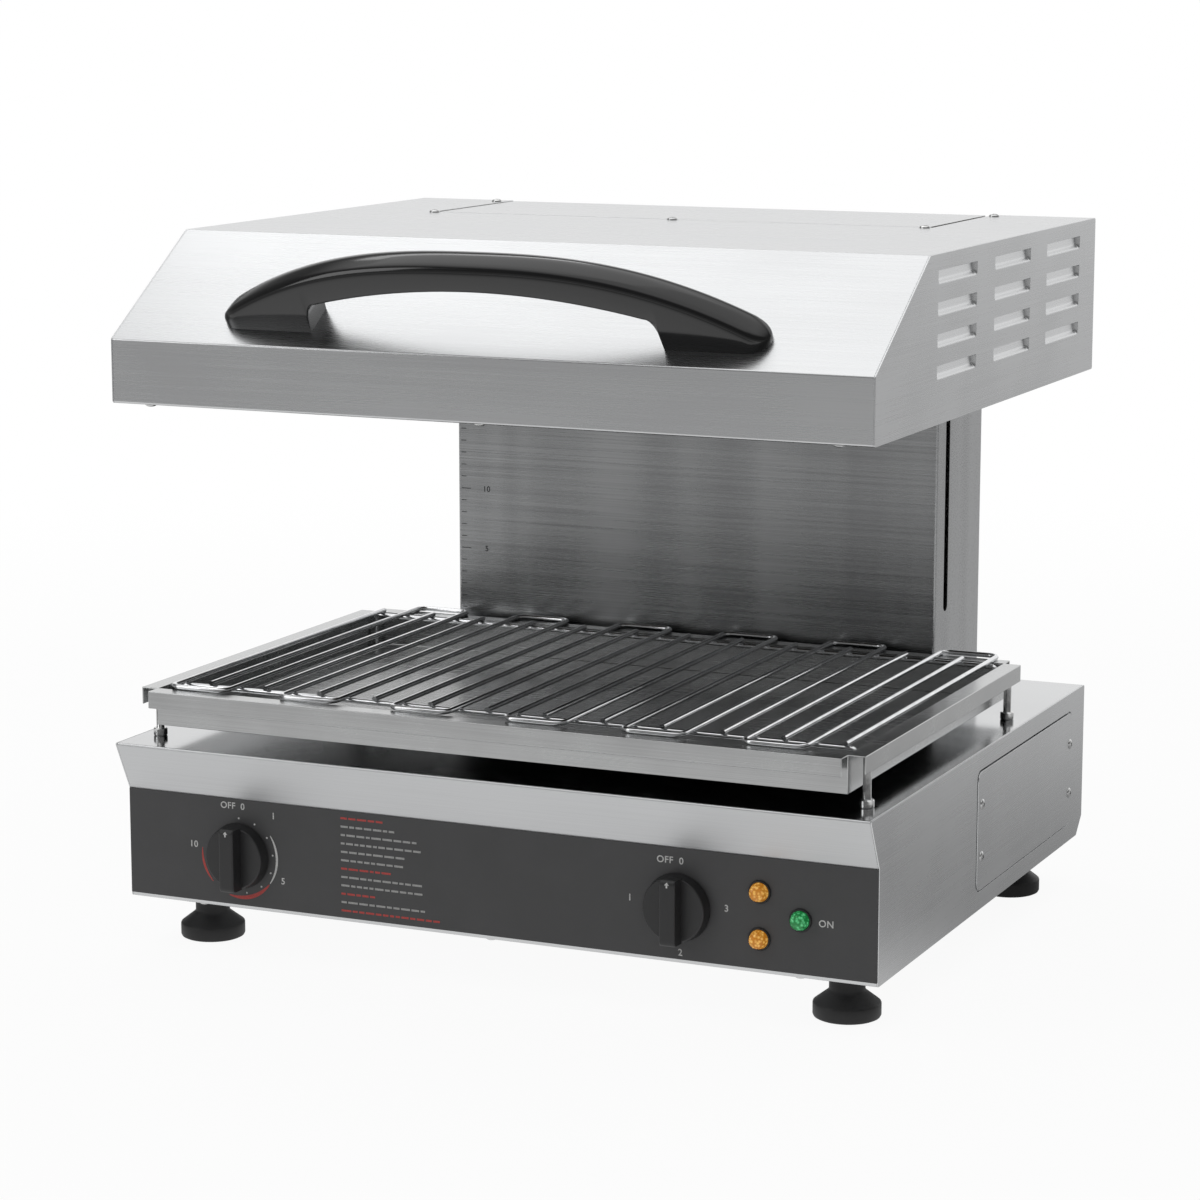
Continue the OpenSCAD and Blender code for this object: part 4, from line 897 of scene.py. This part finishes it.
def clockPoints(x, z, radius, start, end, count=28):  # from one clock angle to another, clockwise from twelve
    turns = [math.radians(start + (end - start) * i / (count - 1)) for i in range(count)]
    return [(x + radius * math.sin(a), z + radius * math.cos(a)) for a in turns]


def printedWord(text, x, z, size, face):  # a word as a thin mesh on a face across Y, centred on (x, z)
    curve = bpy.data.curves.new("word", "FONT")
    curve.body = text
    curve.size = size * mm
    curve.align_x, curve.align_y = "CENTER", "CENTER"
    curve.extrude = 0.03 * mm
    curve.space_character = 1.08
    curve.offset = 0.1 * mm  # a bolder stroke
    holder = bpy.data.objects.new("word", curve)
    scene.collection.objects.link(holder)
    mesh = bpy.data.meshes.new_from_object(holder.evaluated_get(bpy.context.evaluated_depsgraph_get()))
    bpy.data.objects.remove(holder)
    mesh.transform(Matrix(((1, 0, 0, x * mm), (0, 0, -1, (face - 0.03) * mm), (0, 1, 0, z * mm), (0, 0, 0, 1))))
    mesh.materials.clear()
    piece = bpy.data.objects.new("word", mesh)
    scene.collection.objects.link(piece)
    return piece


def makePrint(form):
    low, high = boxOf("timer_knob")
    tx, tz = (low[0] + high[0]) / 2, (low[2] + high[2]) / 2
    low, high = boxOf("selector_knob")
    sx, sz = (low[0] + high[0]) / 2, (low[2] + high[2]) / 2
    low, high = boxOf("lamp_lens_power")
    px, pz = (low[0] + high[0]) / 2, (low[2] + high[2]) / 2

    arcs = [flatStrip(clockPoints(tx, tz, form["arcRing"], 56, 126), lambda t: 0.5 + 1.3 * math.sin(math.pi * t) ** 0.7)]
    white = newPiece("print_white", *raisedBand(arcs, form["raise"]), [whiteInk])
    words = [("OFF", tx - 9, tz + 37.5, form["letters"]), ("0", tx + 3.5, tz + 37.5, form["letters"]),
             ("1", tx + 29.5, tz + 33, form["letters"]), ("5", tx + 37, tz - 16, form["letters"]),
             ("10", tx - 39, tz + 5, form["letters"]),
             ("OFF", sx - 10, sz + 33.5, form["letters"]), ("0", sx + 2.5, sz + 33.5, form["letters"]),
             ("1", sx - 37, sz + 3, form["letters"]), ("2", sx + 2, sz - 33, form["letters"]),
             ("3", sx + 37, sz + 3, form["letters"]), ("ON", px + 19, pz - 1, form["letters"])]
    made = [printedWord(*word, panelFace) for word in words]
    for piece in made:
        piece.data.materials.append(whiteInk)
    absorb(white, *made)
    settle(white, "base", "white_plastic")

    reds = [flatStrip(clockPoints(tx, tz, form["arcRing"], 128, 196), lambda t: 0.6 + 2.4 * math.sin(math.pi * t) ** 0.8),
            flatStrip(clockPoints(tx, tz, form["arcRing"] - 0.4, 226, 276), lambda t: 0.5 + 1.3 * math.sin(math.pi * t))]
    red = newPiece("print_red", *raisedBand(reds, form["raise"]), [redInk])
    settle(red, "base", "white_plastic")

    dot = template("dotShape", turnedPart([(0, 0), (1, 0), (1, 1), (0, 1)], 16))
    dots = [{"at": (x, panelFace + 0.05, z), "facing": (0, -1, 0), "size": (form["dot"], form["dot"], 0.1)}
            for x, z in clockPoints(tx, tz, form["dotRing"], 0, 168, 7)]
    settle(grown("print_dots", placingTree, {"Part": dot, "Material": whiteInk}, startPoints("dots", dots)),
           "base", "white_plastic")


makePrint(printForm)


# Rows of dashes hold the place of the printed instructions
rowsForm = {"left": -119, "top": 117.5, "step": 6.35, "tall": 1.5, "word": (3.0, 8.0), "gap": 1.3}
rowPlan = [("red", 30), ("white", 44), ("white", 60), ("white", 62), ("white", 48), ("white", 46), ("red", 40),
           ("white", 62), ("white", 66), ("red", 24), ("white", 66), ("red", 78)]


def makeDashRows(form, plan):
    dash = template("dashShape", boxPart((-0.5, -0.5, 0), (0.5, 0.5, 1)))
    pick = random.Random(11)  # fixed, so that the dashes keep their lengths
    spots = {"red": [], "white": []}
    for row, (colour, reach) in enumerate(plan):
        x = form["left"]
        while x < form["left"] + reach:
            length = pick.uniform(*form["word"])
            spots[colour].append({"at": (x + length / 2, panelFace + 0.05, form["top"] - row * form["step"]),
                                  "facing": (0, -1, 0), "size": (length, form["tall"], 0.1)})
            x += length + form["gap"]
    for colour, ink in (("red", redInk), ("white", paleInk)):
        settle(grown("dash_rows_" + colour, placingTree, {"Part": dash, "Material": ink},
                     startPoints("dashes", spots[colour])), "base", "white_plastic")


makeDashRows(rowsForm, rowPlan)
print("controls ready")


# ------ column
columnForm = {"sheet": 1.2, "fold": 2.2, "hem": 13, "slot": 9.8, "slotIn": 20, "slotFoot": 229, "slotTop": 494}


def makeColumn(form):
    low, high = boxOf("column_shell")
    inner = high[0] - form["hem"] - form["sheet"]
    path = [(inner, high[1]), (high[0], high[1]), (high[0], low[1]), (low[0], low[1]), (low[0], high[1]),
            (-inner, high[1])]
    # seen from above the path runs clockwise, so the metal is on its right
    part = foldedPart(path, (low[2], high[2]), form["sheet"], form["fold"], along="Z")
    # the column's steel carries painted shade and painted reflections in its colour
    piece = newPiece("column_shell_folded", *part, [columnSteelPaintedShadeAndReflection])
    half, reach = form["slot"] / 2, 8
    middle, foot = low[1] + form["slotIn"] + half, form["slotFoot"] + half
    for x in (low[0], high[0]):
        opening = boxPart((x - reach, middle - half, foot), (x + reach, middle + half, form["slotTop"]))
        drill = turnedPart([(0, -reach), (half, -reach), (half, reach), (0, reach)], 32)
        across = Matrix(((0, 0, 1, x), (0, 1, 0, middle), (-1, 0, 0, foot), (0, 0, 0, 1)))
        cutAway(piece, opening, moved(drill, across))
    settle(softened(piece, 0.25), "base", "stainless", "column_shell")
    settle(dressed("column_back", uprightSteel, 0.4), "base", "stainless", "column_back")
    settle(dressed("column_cap", acrossSteel, 0.2), "base", "stainless", "column_cap")


scaleForm = {"x": 3, "short": 4.5, "long": 8.5, "thick": 0.6, "numberIn": 26, "step": 10, "marks": 17, "fives": (306, 256),
             "first": 196, "letters": 6.5}


def makeScale(form):
    # height scale at the left edge of the column's front
    low, high = boxOf("column_shell")
    dash = template("tickShape", boxPart((0, -0.5, 0), (1, 0.5, 1)))
    ticks = []
    for k in range(form["marks"]):
        z = form["first"] + k * form["step"]
        if z > boxOf("hood_shell")[0][2] - 6:
            break
        length = form["long"] if any(abs(z - five) < 1 for five in form["fives"]) else form["short"]
        ticks.append({"at": (low[0] + form["x"], low[1] + 0.05, z), "facing": (0, -1, 0), "turn": 0.0,
                      "size": (length, form["thick"], 0.1)})
    piece = grown("scale_ticks", placingTree, {"Part": dash, "Material": greyInk}, startPoints("ticks", ticks))
    numbers = [printedWord(text, low[0] + form["numberIn"], z, form["letters"], low[1]) for text, z in
               zip(("10", "5"), form["fives"])]
    for number in numbers:
        number.data.materials.append(greyInk)
    settle(absorb(piece, *numbers), "base", "black_plastic")


makeColumn(columnForm)
makeScale(scaleForm)
print("column ready")


# ------ hood
hoodForm = {"sheet": 1.2, "fold": 2.0, "hem": 13, "band": 47.5, "slope": 109.6, "front": 4, "edge": 0.35, "gap": 4.4}


def hoodSection(low, high, form):
    front = lip + form["front"]
    return [(front, low[2]), (front, low[2] + form["band"]), (front + form["slope"], high[2]),
            (high[1], high[2]), (high[1], low[2])]


def makeHoodShell(form):
    low, high = boxOf("hood_shell")
    section = hoodSection(low, high, form)
    inner = form["hem"] + form["sheet"]
    path = [(section[0][0] + inner, low[2]), *section, (section[-1][0] - inner, low[2])]
    part = foldedPart(path, (low[0], high[0]), form["sheet"], form["fold"], steps=5)
    piece = newPiece("hood_shell_folded", *part, [acrossSteel])
    cap = boxOf("column_cap")[0]
    side, front = -cap[0] + form["gap"] + 0.5, cap[1] - form["gap"]
    cutAway(piece, boxPart((-side, front, low[2] - 5), (side, high[1] + 5, high[2] + 5)))
    settle(softened(piece, 0.3), "hood", "hood_steel", "hood_shell")


louvreForm = {"length": 86, "height": 9.5, "depth": 3.4, "rise": 3.6, "end": 3.4, "columns": 3, "rows": 4,
              "stepAlong": 127.5, "stepUp": 22.3, "first": 130.5, "low": 32, "sheet": 1.0, "corner": 2.2}


def makeHoodSides(form, louvre):
    low, high = boxOf("hood_shell")
    section = hoodSection(low, high, form)
    edge = form["edge"]
    holes = []
    for i in range(louvre["columns"]):
        for j in range(louvre["rows"]):
            y = lip + louvre["first"] + i * louvre["stepAlong"]
            z = low[2] + louvre["low"] + j * louvre["stepUp"]
            holes.append(outline([(y, z, louvre["corner"]), (y + louvre["length"], z, louvre["corner"]),
                                  (y + louvre["length"], z + louvre["height"], 0.6), (y, z + louvre["height"], 0.6)],
                                 0.6, 4))
    for side, word in ((1, "right"), (-1, "left")):
        nodeLow, nodeHigh = boxOf("hood_side_" + word)
        outer = (nodeHigh if side > 0 else nodeLow)[0]
        panel = platePiece("hood_side_%s_formed" % word, [outline(section, 1.8), *holes], form["sheet"], edge,
                           sideMatrix(outer - side * form["sheet"] / 2, side), alongSteel)
        inside = outer - side * form["sheet"]
        flange = boxPart((min(inside, inside - side * form["hem"]), section[0][0] + form["hem"] + form["sheet"], low[2]),
                         (max(inside, inside - side * form["hem"]), section[-1][0] - form["hem"] - form["sheet"],
                          low[2] + form["sheet"]))
        absorb(panel, newPiece("flange", *flange, [alongSteel]))
        settle(softened(panel, 0), "hood", "hood_steel", "hood_side_" + word)
        wide = louvre["length"] + 2 * edge
        tall = louvre["height"] + edge
        middleY = lip + louvre["first"] + louvre["length"] / 2 + (louvre["columns"] - 1) / 2 * louvre["stepAlong"]
        middleZ = low[2] + louvre["low"] + louvre["height"] / 2 - edge / 2 + (louvre["rows"] - 1) / 2 * louvre["stepUp"]
        pockets = grown("louvres_" + word, louvreTree, {
            "Length": wide * mm, "Height": tall * mm, "Depth": louvre["depth"] * mm, "Rise": louvre["rise"] * mm,
            "End": louvre["end"] * mm, "Columns": louvre["columns"], "Rows": louvre["rows"],
            "Step Along": louvre["stepAlong"] * mm, "Step Up": louvre["stepUp"] * mm,
            "Place": (outer * mm, middleY * mm, middleZ * mm),
            "Turn": (math.pi / 2, 0, side * math.pi / 2), "Material": alongSteel}, bpy.data.meshes.new("start"))
        pockets.data.shade_smooth()
        thick = pockets.modifiers.new("sheet", "SOLIDIFY")
        thick.thickness = louvre["sheet"] * mm
        thick.offset = -1
        settle(pockets, "hood", "hood_steel")


makeHoodShell(hoodForm)
makeHoodSides(hoodForm, louvreForm)
print("hood ready")


# ------ handle
handleForm = {"length": 426, "rise": 63.3, "width": 28, "grip": 21.3, "footRise": 24.5, "foot": 75, "up": 17.5,
              "front": 7.5, "dome": 9, "under": 2.6, "reach": 225, "corner": 10, "along": 110}


def cornerPoints(centre, radius, start, end, count=7):  # an arc from one angle to another in degrees
    turns = [math.radians(start + (end - start) * k / (count - 1)) for k in range(count)]
    return [(centre[0] + radius * math.cos(a), centre[1] + radius * math.sin(a)) for a in turns]


def handleSection(form, x):
    # (up the slope, out from it) round the grip at x: round front edge, domed rear half, soft underside
    half = form["length"] / 2
    leg, side = half - form["foot"], form["width"] / 2
    past = max(0, abs(x) - (half - side)) / side
    nose = math.sqrt(max(0.0, 1 - past ** 2))
    top = form["rise"] * (1 - abs(x / form["reach"]) ** 2.6) * (0.45 + 0.55 * nose)
    bend = form["corner"]
    arch = form["rise"] - form["grip"]
    arch -= (arch - form["footRise"]) * (min(abs(x), leg - bend) / (leg - bend)) ** 2
    drop = min(1, max(0, (abs(x) - leg + bend) / bend))
    under = arch * math.sqrt(1 - drop ** 2.2)
    low, high = side - side * max(nose, 0.12), side + side * max(nose, 0.12)
    tall, wide = top - under, high - low
    front, dome = min(form["front"], tall * 0.5, wide * 0.4), min(form["dome"], tall * 0.6)
    crest = low + wide / 2
    soft = min(form["under"], tall * 0.3, wide * 0.3) if under > 0 else 0.4
    ring = cornerPoints((low + front, top - front), front, 180, 92)
    ring += [(crest + (high - crest) * math.sin(a), top - dome + dome * math.cos(a)) for a in
             [math.pi / 2 * k / 12 for k in range(13)]]
    ring += cornerPoints((high - soft, under + soft), soft, 0, -90, 5)
    ring += cornerPoints((low + soft, under + soft), soft, -90, -180, 5)
    return ring


def makeHandle(form):
    # the grip is lofted from sections across its length, closer together towards the ends and at the legs
    low, high = boxOf("hood_shell")
    lean = math.atan2(high[2] - low[2] - hoodForm["band"], hoodForm["slope"])
    half, leg = form["length"] / 2, form["length"] / 2 - form["foot"]
    spread = [half * 0.999 * math.sin(math.pi / 2 * (-1 + 2 * k / form["along"])) for k in range(form["along"] + 1)]
    extra = [leg - 12 + 1.5 * k for k in range(9)]
    stations = sorted(spread + extra + [-x for x in extra])
    points, faces = [], []
    for x in stations:
        ring = handleSection(form, x)
        for up, out in ring:
            along = form["up"] + up
            points.append((x, lip + hoodForm["front"] + along * math.cos(lean) - out * math.sin(lean),
                           low[2] + hoodForm["band"] + along * math.sin(lean) + out * math.cos(lean)))
    count = len(ring)
    for i in range(len(stations) - 1):
        for k in range(count):
            a, b = i * count + k, i * count + (k + 1) % count
            faces.append((a, b, b + count, a + count))
    last = (len(stations) - 1) * count
    faces += [list(range(count)), list(range(last + count - 1, last - 1, -1))]
    piece = newPiece("handle_moulded", points, faces, [handleBlack])
    piece.data.shade_smooth()
    piece.data.set_sharp_from_angle(angle=math.radians(50))
    settle(piece, "hood", "black_plastic", "handle")


makeHandle(handleForm)
print("handle ready")


# ------ drip pan, grid, pins and feet
def makePan():
    settle(dressed("drip_pan", panSteelPaintedShade, 0.45), "pan", "pan_steel", "drip_pan")


gridForm = {"wires": 24, "reach": 21, "corner": 8, "legCorner": 3.2}


def makeGrid(form):
    # closed wire loops, alternately open to the rear and to the front, welded on two cross bars
    low, high = boxOf("wire_grid")
    barLow, barHigh = boxOf("grid_cross_bars")
    wire = high[2] - low[2]
    first, last = low[0] + wire / 2, high[0] - wire / 2
    step = (last - first) / (form["wires"] - 1)
    front, rear = low[1] + wire / 2, high[1] - wire / 2
    shortFront, shortRear = front + form["reach"], rear - form["reach"]
    z = (low[2] + high[2]) / 2
    paths = []
    for i in range(0, form["wires"], 4):
        a, b, c, d = [first + (i + k) * step for k in range(4)]
        paths.append(([(a, shortRear, z), (a, front, z), (c, front, z), (c, shortRear, z)], form["corner"]))
        paths.append(([(b, shortFront, z), (b, rear, z), (d, rear, z), (d, shortFront, z)], form["corner"]))
    left, right = barLow[0] + wire / 2, barHigh[0] - wire / 2
    barZ = barHigh[2] - wire / 2
    for y in (barLow[1] + wire / 2, barHigh[1] - wire / 2):
        paths.append(([(left, y, barLow[2]), (left, y, barZ), (right, y, barZ), (right, y, barLow[2])],
                      form["legCorner"]))
    verts, edges, corners = [], [], []
    for path, corner in paths:
        edges += [(len(verts) + k, len(verts) + k + 1) for k in range(len(path) - 1)]
        verts += [[c * mm for c in p] for p in path]
        corners += [corner * mm] * len(path)
    start = bpy.data.meshes.new("wires")
    start.from_pydata(verts, edges, [])
    start.attributes.new("corner", "FLOAT", "POINT").data.foreach_set("value", corners)
    piece = grown("wire_grid_bent", wireTree, {"Diameter": wire * mm, "Material": wireChrome}, start)
    piece.data.shade_smooth()
    piece.data.set_sharp_from_angle(angle=math.radians(50))
    settle(piece, "grid", "wire_chrome", "wire_grid", "grid_cross_bars")


pinForm = {"rod": 6, "collar": 10.5, "collarRise": 6, "soft": 0.7}


def makePins(form):
    spots = []
    for low, high in islands("support_pins"):
        spots.append({"at": ((low[0] + high[0]) / 2, (low[1] + high[1]) / 2, low[2])})
        tall = high[2] - low[2]
    floor = boxOf("base_shell")[1][2] - spots[0]["at"][2]
    r, c, s = form["rod"] / 2, form["collar"] / 2, form["soft"]
    profile = [(0, 0), (r, 0), (r, floor), (c - s, floor), (c, floor + s), (c, floor + form["collarRise"] - s),
               (c - s, floor + form["collarRise"]), (r + 0.3, floor + form["collarRise"]), (r, floor + form["collarRise"] + 0.4),
               (r, tall - s), (r - s, tall), (0, tall)]
    shape = template("pinShape", turnedPart(profile, 28))
    settle(grown("support_pins_turned", placingTree, {"Part": shape, "Material": brightSteel},
                 startPoints("pins", spots)), "base", "bright_steel", "support_pins")


footForm = {"sides": 64, "neck": 13, "neckFoot": 19.5, "rim": 11.5, "edge": 2.2, "neckTop": 36.3}


def makeFeet(form):
    for word, body in (("front_left", "foot_fl"), ("front_right", "foot_fr"), ("rear_left", "foot_rl"),
                       ("rear_right", "foot_rr")):
        low, high = boxOf("foot_" + word)
        x, y = (low[0] + high[0]) / 2, (low[1] + high[1]) / 2
        r, neck, cone, rim, top = (high[0] - low[0]) / 2, form["neck"], form["neckFoot"], form["rim"], form["neckTop"]
        edge = form["edge"]
        profile = [(0, 0.6), (r - 5, 0.6), (r - 4.4, 0), (r - edge, 0), (r - edge / 3, edge / 3), (r, edge), (r, rim - 1.3),
                   (r - 0.3, rim - 0.5), (r - 1.1, rim + 0.2), (neck + 1.6, cone - 1.0), (neck + 0.5, cone - 0.1),
                   (neck, cone + 1.2), (neck, top - 0.6), (neck - 0.6, top), (0, top)]
        foot = turnedPart(profile, form["sides"])
        nut = turnedPart([(0, top - 0.1), (9.4, top - 0.1), (10, top + 0.5), (10, top + 3), (9.2, top + 3.6),
                          (0, top + 3.6)], 6)
        stud = turnedPart([(0, top - 0.1), (5, top - 0.1), (5, high[2] - 0.8), (4.2, high[2]), (0, high[2])], 24)
        parts = joined([foot, nut, stud])
        indices = [0] * len(foot[1]) + [1] * (len(nut[1]) + len(stud[1]))
        piece = newPiece("foot_%s_moulded" % word, *moved(parts, Matrix.Translation((x, y, 0))),
                         [footRubber, zincSteel], indices)
        piece.data.shade_smooth()
        piece.data.set_sharp_from_angle(angle=math.radians(35))
        settle(piece, body, "black_plastic", "foot_" + word)


makePan()
makeGrid(gridForm)
makePins(pinForm)
makeFeet(footForm)
print("pan, grid and feet ready")

# CAD nodes that keep their own shape get the finish of what they are, except the frame under the hood, the reflector
# and the column's liner, which get painted shade
keptNodes = {
    "bottom_plate": alongSteel, "timer_body": whitePlastic, "selector_body": whitePlastic, "control_screws": zincSteel,
    "timer_shaft": brightSteel, "selector_shaft": brightSteel, "lamp_barrels": knobBlack, "terminal_block": whitePlastic,
    "cable_gland": knobBlack, "guide_rods": brightSteel, "guide_foot": zincSteel, "guide_head": zincSteel,
    "gas_spring_tubes": tubeBlack, "gas_spring_rods": brightSteel, "carriage": zincSteel,
    "carriage_bushes": bushBrass, "arm_left": zincSteel, "arm_right": zincSteel, "arm_bolts": zincSteel,
    "hood_bottom_frame": paintedShadeSteel, "column_shroud": paintedShadeSteel, "reflector": paintedShadeSteel,
    "insulation_blanket": fibreWhite, "element_left": elementSteel, "element_right": elementSteel,
    "element_supports": zincSteel, "handle_screws": brightSteel, "foot_nuts": zincSteel}


def paintKeptNodes(table):
    for name, material in table.items():
        mesh = nodes[name].data
        mesh.materials.clear()
        mesh.materials.append(material)


paintKeptNodes(keptNodes)


# ------ studio
# White backdrop behind, a broad softbox overhead and a dim room in front of the object
worldLook = {"low": 0.36, "front": 0.16, "back": 1.0, "above": 1.0, "backWay": (-0.3, 0.95, 0.1),
             "backEdge": (0.74, 0.95), "wallTop": (0.42, 0.58), "aboveEdge": (0.56, 0.8), "lowEdge": (0.0, 0.2),
             "rightWay": (0.35, 0.9, 0.3), "rightEdge": (0.9, 0.97)}


def softStep(tree, value, edge, low, high):
    return addNode(tree, "ShaderNodeMapRange", {"Value": value, "From Min": edge[0], "From Max": edge[1],
                                                "To Min": low, "To Max": high},
                   interpolation_type="SMOOTHSTEP").outputs[0]


def makeWorld(look):
    world = bpy.data.worlds.new("studio")
    scene.world = world
    world.use_nodes = True
    tree = world.node_tree
    way = addNode(tree, "ShaderNodeTexCoord").outputs["Generated"]
    near, beside = [addNode(tree, "ShaderNodeVectorMath", {0: way, 1: Vector(look[side]).normalized()},
                            operation="DOT_PRODUCT").outputs["Value"] for side in ("backWay", "rightWay")]
    up = addNode(tree, "ShaderNodeSeparateXYZ", {0: way}).outputs[2]
    room = softStep(tree, up, look["lowEdge"], look["low"], look["front"])
    wall = addNode(tree, "ShaderNodeMath", {0: softStep(tree, near, look["backEdge"], 0, 1),
                                            1: softStep(tree, up, look["wallTop"], 1, 0)}, operation="MULTIPLY").outputs[0]
    wall = addNode(tree, "ShaderNodeMath", {0: wall, 1: softStep(tree, beside, look["rightEdge"], 0, 1)},
                   operation="MAXIMUM").outputs[0]
    behind = addNode(tree, "ShaderNodeMix", {0: wall, 2: room, 3: look["back"]}).outputs[0]
    level = addNode(tree, "ShaderNodeMix", {0: softStep(tree, up, look["aboveEdge"], 0, 1), 2: behind,
                                            3: look["above"]}).outputs[0]
    rays = addNode(tree, "ShaderNodeLightPath").outputs
    seen = addNode(tree, "ShaderNodeMath", {0: rays["Is Camera Ray"], 1: rays["Is Transmission Ray"]},
                   operation="MAXIMUM").outputs[0]
    shown = addNode(tree, "ShaderNodeMix", {0: seen, 2: level, 3: 1.0}).outputs[0]
    tree.links.new(shown, tree.nodes["Background"].inputs["Color"])


# What the metal sees of the floor: bright close in front of the object and to its right, dimmer elsewhere, and dimmest
# right beside the object, where a shadow is painted
floorLook = {"radius": 3000, "drop": 0.15, "white": 0.93, "near": 0.92, "middle": 0.36, "far": 0.74,
             "side": 0.54, "paintedShadowNear": 0.3, "sideReach": (0.4, 1.1), "right": 0.95, "nearAt": (-1.4, -0.6), "farAt": (-2.3, -1.7), "sideAt": (-0.35, 0.15),
             "rightAt": (0.9, 1.5), "fade": (0.9, 2.4)}


def makeFloor(look):
    ring = turnedPart([(0, 0), (look["radius"], 0), (look["radius"], -20), (0, -20)], 96)
    floor = newPiece("floor", *moved(ring, Matrix.Translation((0, 0, -look["drop"]))), [])
    material, tree, shader = newMaterial("paintedSweep", {"Base Color": linear("#F2F2F2"), "Roughness": 0.9,
                                                         "Specular IOR Level": 0.1})
    place = addNode(tree, "ShaderNodeTexCoord").outputs["Object"]
    across, along = addNode(tree, "ShaderNodeSeparateXYZ", {0: place}).outputs[:2]
    near = softStep(tree, along, look["nearAt"], look["middle"], look["near"])
    far = softStep(tree, along, look["farAt"], look["far"], look["middle"])
    front = addNode(tree, "ShaderNodeMath", {0: near, 1: far}, operation="MAXIMUM").outputs[0]
    right = softStep(tree, across, look["rightAt"], 0, 1)
    front = addNode(tree, "ShaderNodeMix", {0: right, 2: front, 3: look["right"]}).outputs[0]
    behind = softStep(tree, along, look["sideAt"], 0, 1)
    reach = addNode(tree, "ShaderNodeVectorMath", {0: place}, operation="LENGTH").outputs["Value"]
    # the level falls towards the object at its sides: a painted shadow that the metal mirrors
    beside = softStep(tree, reach, look["sideReach"], look["paintedShadowNear"], look["side"])
    shade = addNode(tree, "ShaderNodeMix", {0: behind, 2: front, 3: beside}).outputs[0]
    rays = addNode(tree, "ShaderNodeLightPath").outputs
    seen = addNode(tree, "ShaderNodeMath", {0: rays["Is Camera Ray"], 1: rays["Is Transmission Ray"]},
                   operation="MAXIMUM").outputs[0]
    share = addNode(tree, "ShaderNodeMath", {0: seen, 1: rays["Is Glossy Ray"]}, operation="MAXIMUM").outputs[0]
    white = softStep(tree, reach, look["fade"], look["white"], 1)
    share = addNode(tree, "ShaderNodeMath", {0: share, 1: white}, operation="MULTIPLY").outputs[0]
    level = addNode(tree, "ShaderNodeMix", {0: seen, 2: shade, 3: 1.0}).outputs[0]
    glow = addNode(tree, "ShaderNodeEmission", {"Strength": level}).outputs[0]
    mix = addNode(tree, "ShaderNodeMixShader", {0: share, 1: shader.outputs[0], 2: glow}).outputs[0]
    tree.links.new(mix, tree.nodes["Material Output"].inputs["Surface"])
    floor.data.materials.append(material)


lampLook = {"overhead": {"place": (-0.6, 0.1, 2.3), "aim": (-0.4, 0, 0.3), "size": (2.4, 1.5), "power": 4},
            "strip": {"place": (-1.15, 1.05, 2.4), "aim": (-0.1, -0.2, 0.45), "size": (1.3, 0.3), "power": 2.4},
            "window": {"place": (-1.9, -2.0, 1.3), "aim": (0, 0, 0.3), "size": (1.2, 1.2), "power": 9}}


def makeLights(look):
    for name, lamp in look.items():
        data = bpy.data.lights.new(name, "AREA")
        data.shape = "RECTANGLE"
        data.size, data.size_y = lamp["size"]
        data.energy = lamp["power"]
        light = bpy.data.objects.new(name, data)
        light.location = lamp["place"]
        way = Vector(lamp["aim"]) - Vector(lamp["place"])
        light.rotation_mode = "QUATERNION"
        light.rotation_quaternion = way.to_track_quat("-Z", "Y")
        scene.collection.objects.link(light)


makeWorld(worldLook)
makeFloor(floorLook)
makeLights(lampLook)
scene.view_settings.view_transform = "Standard"
print("studio ready")
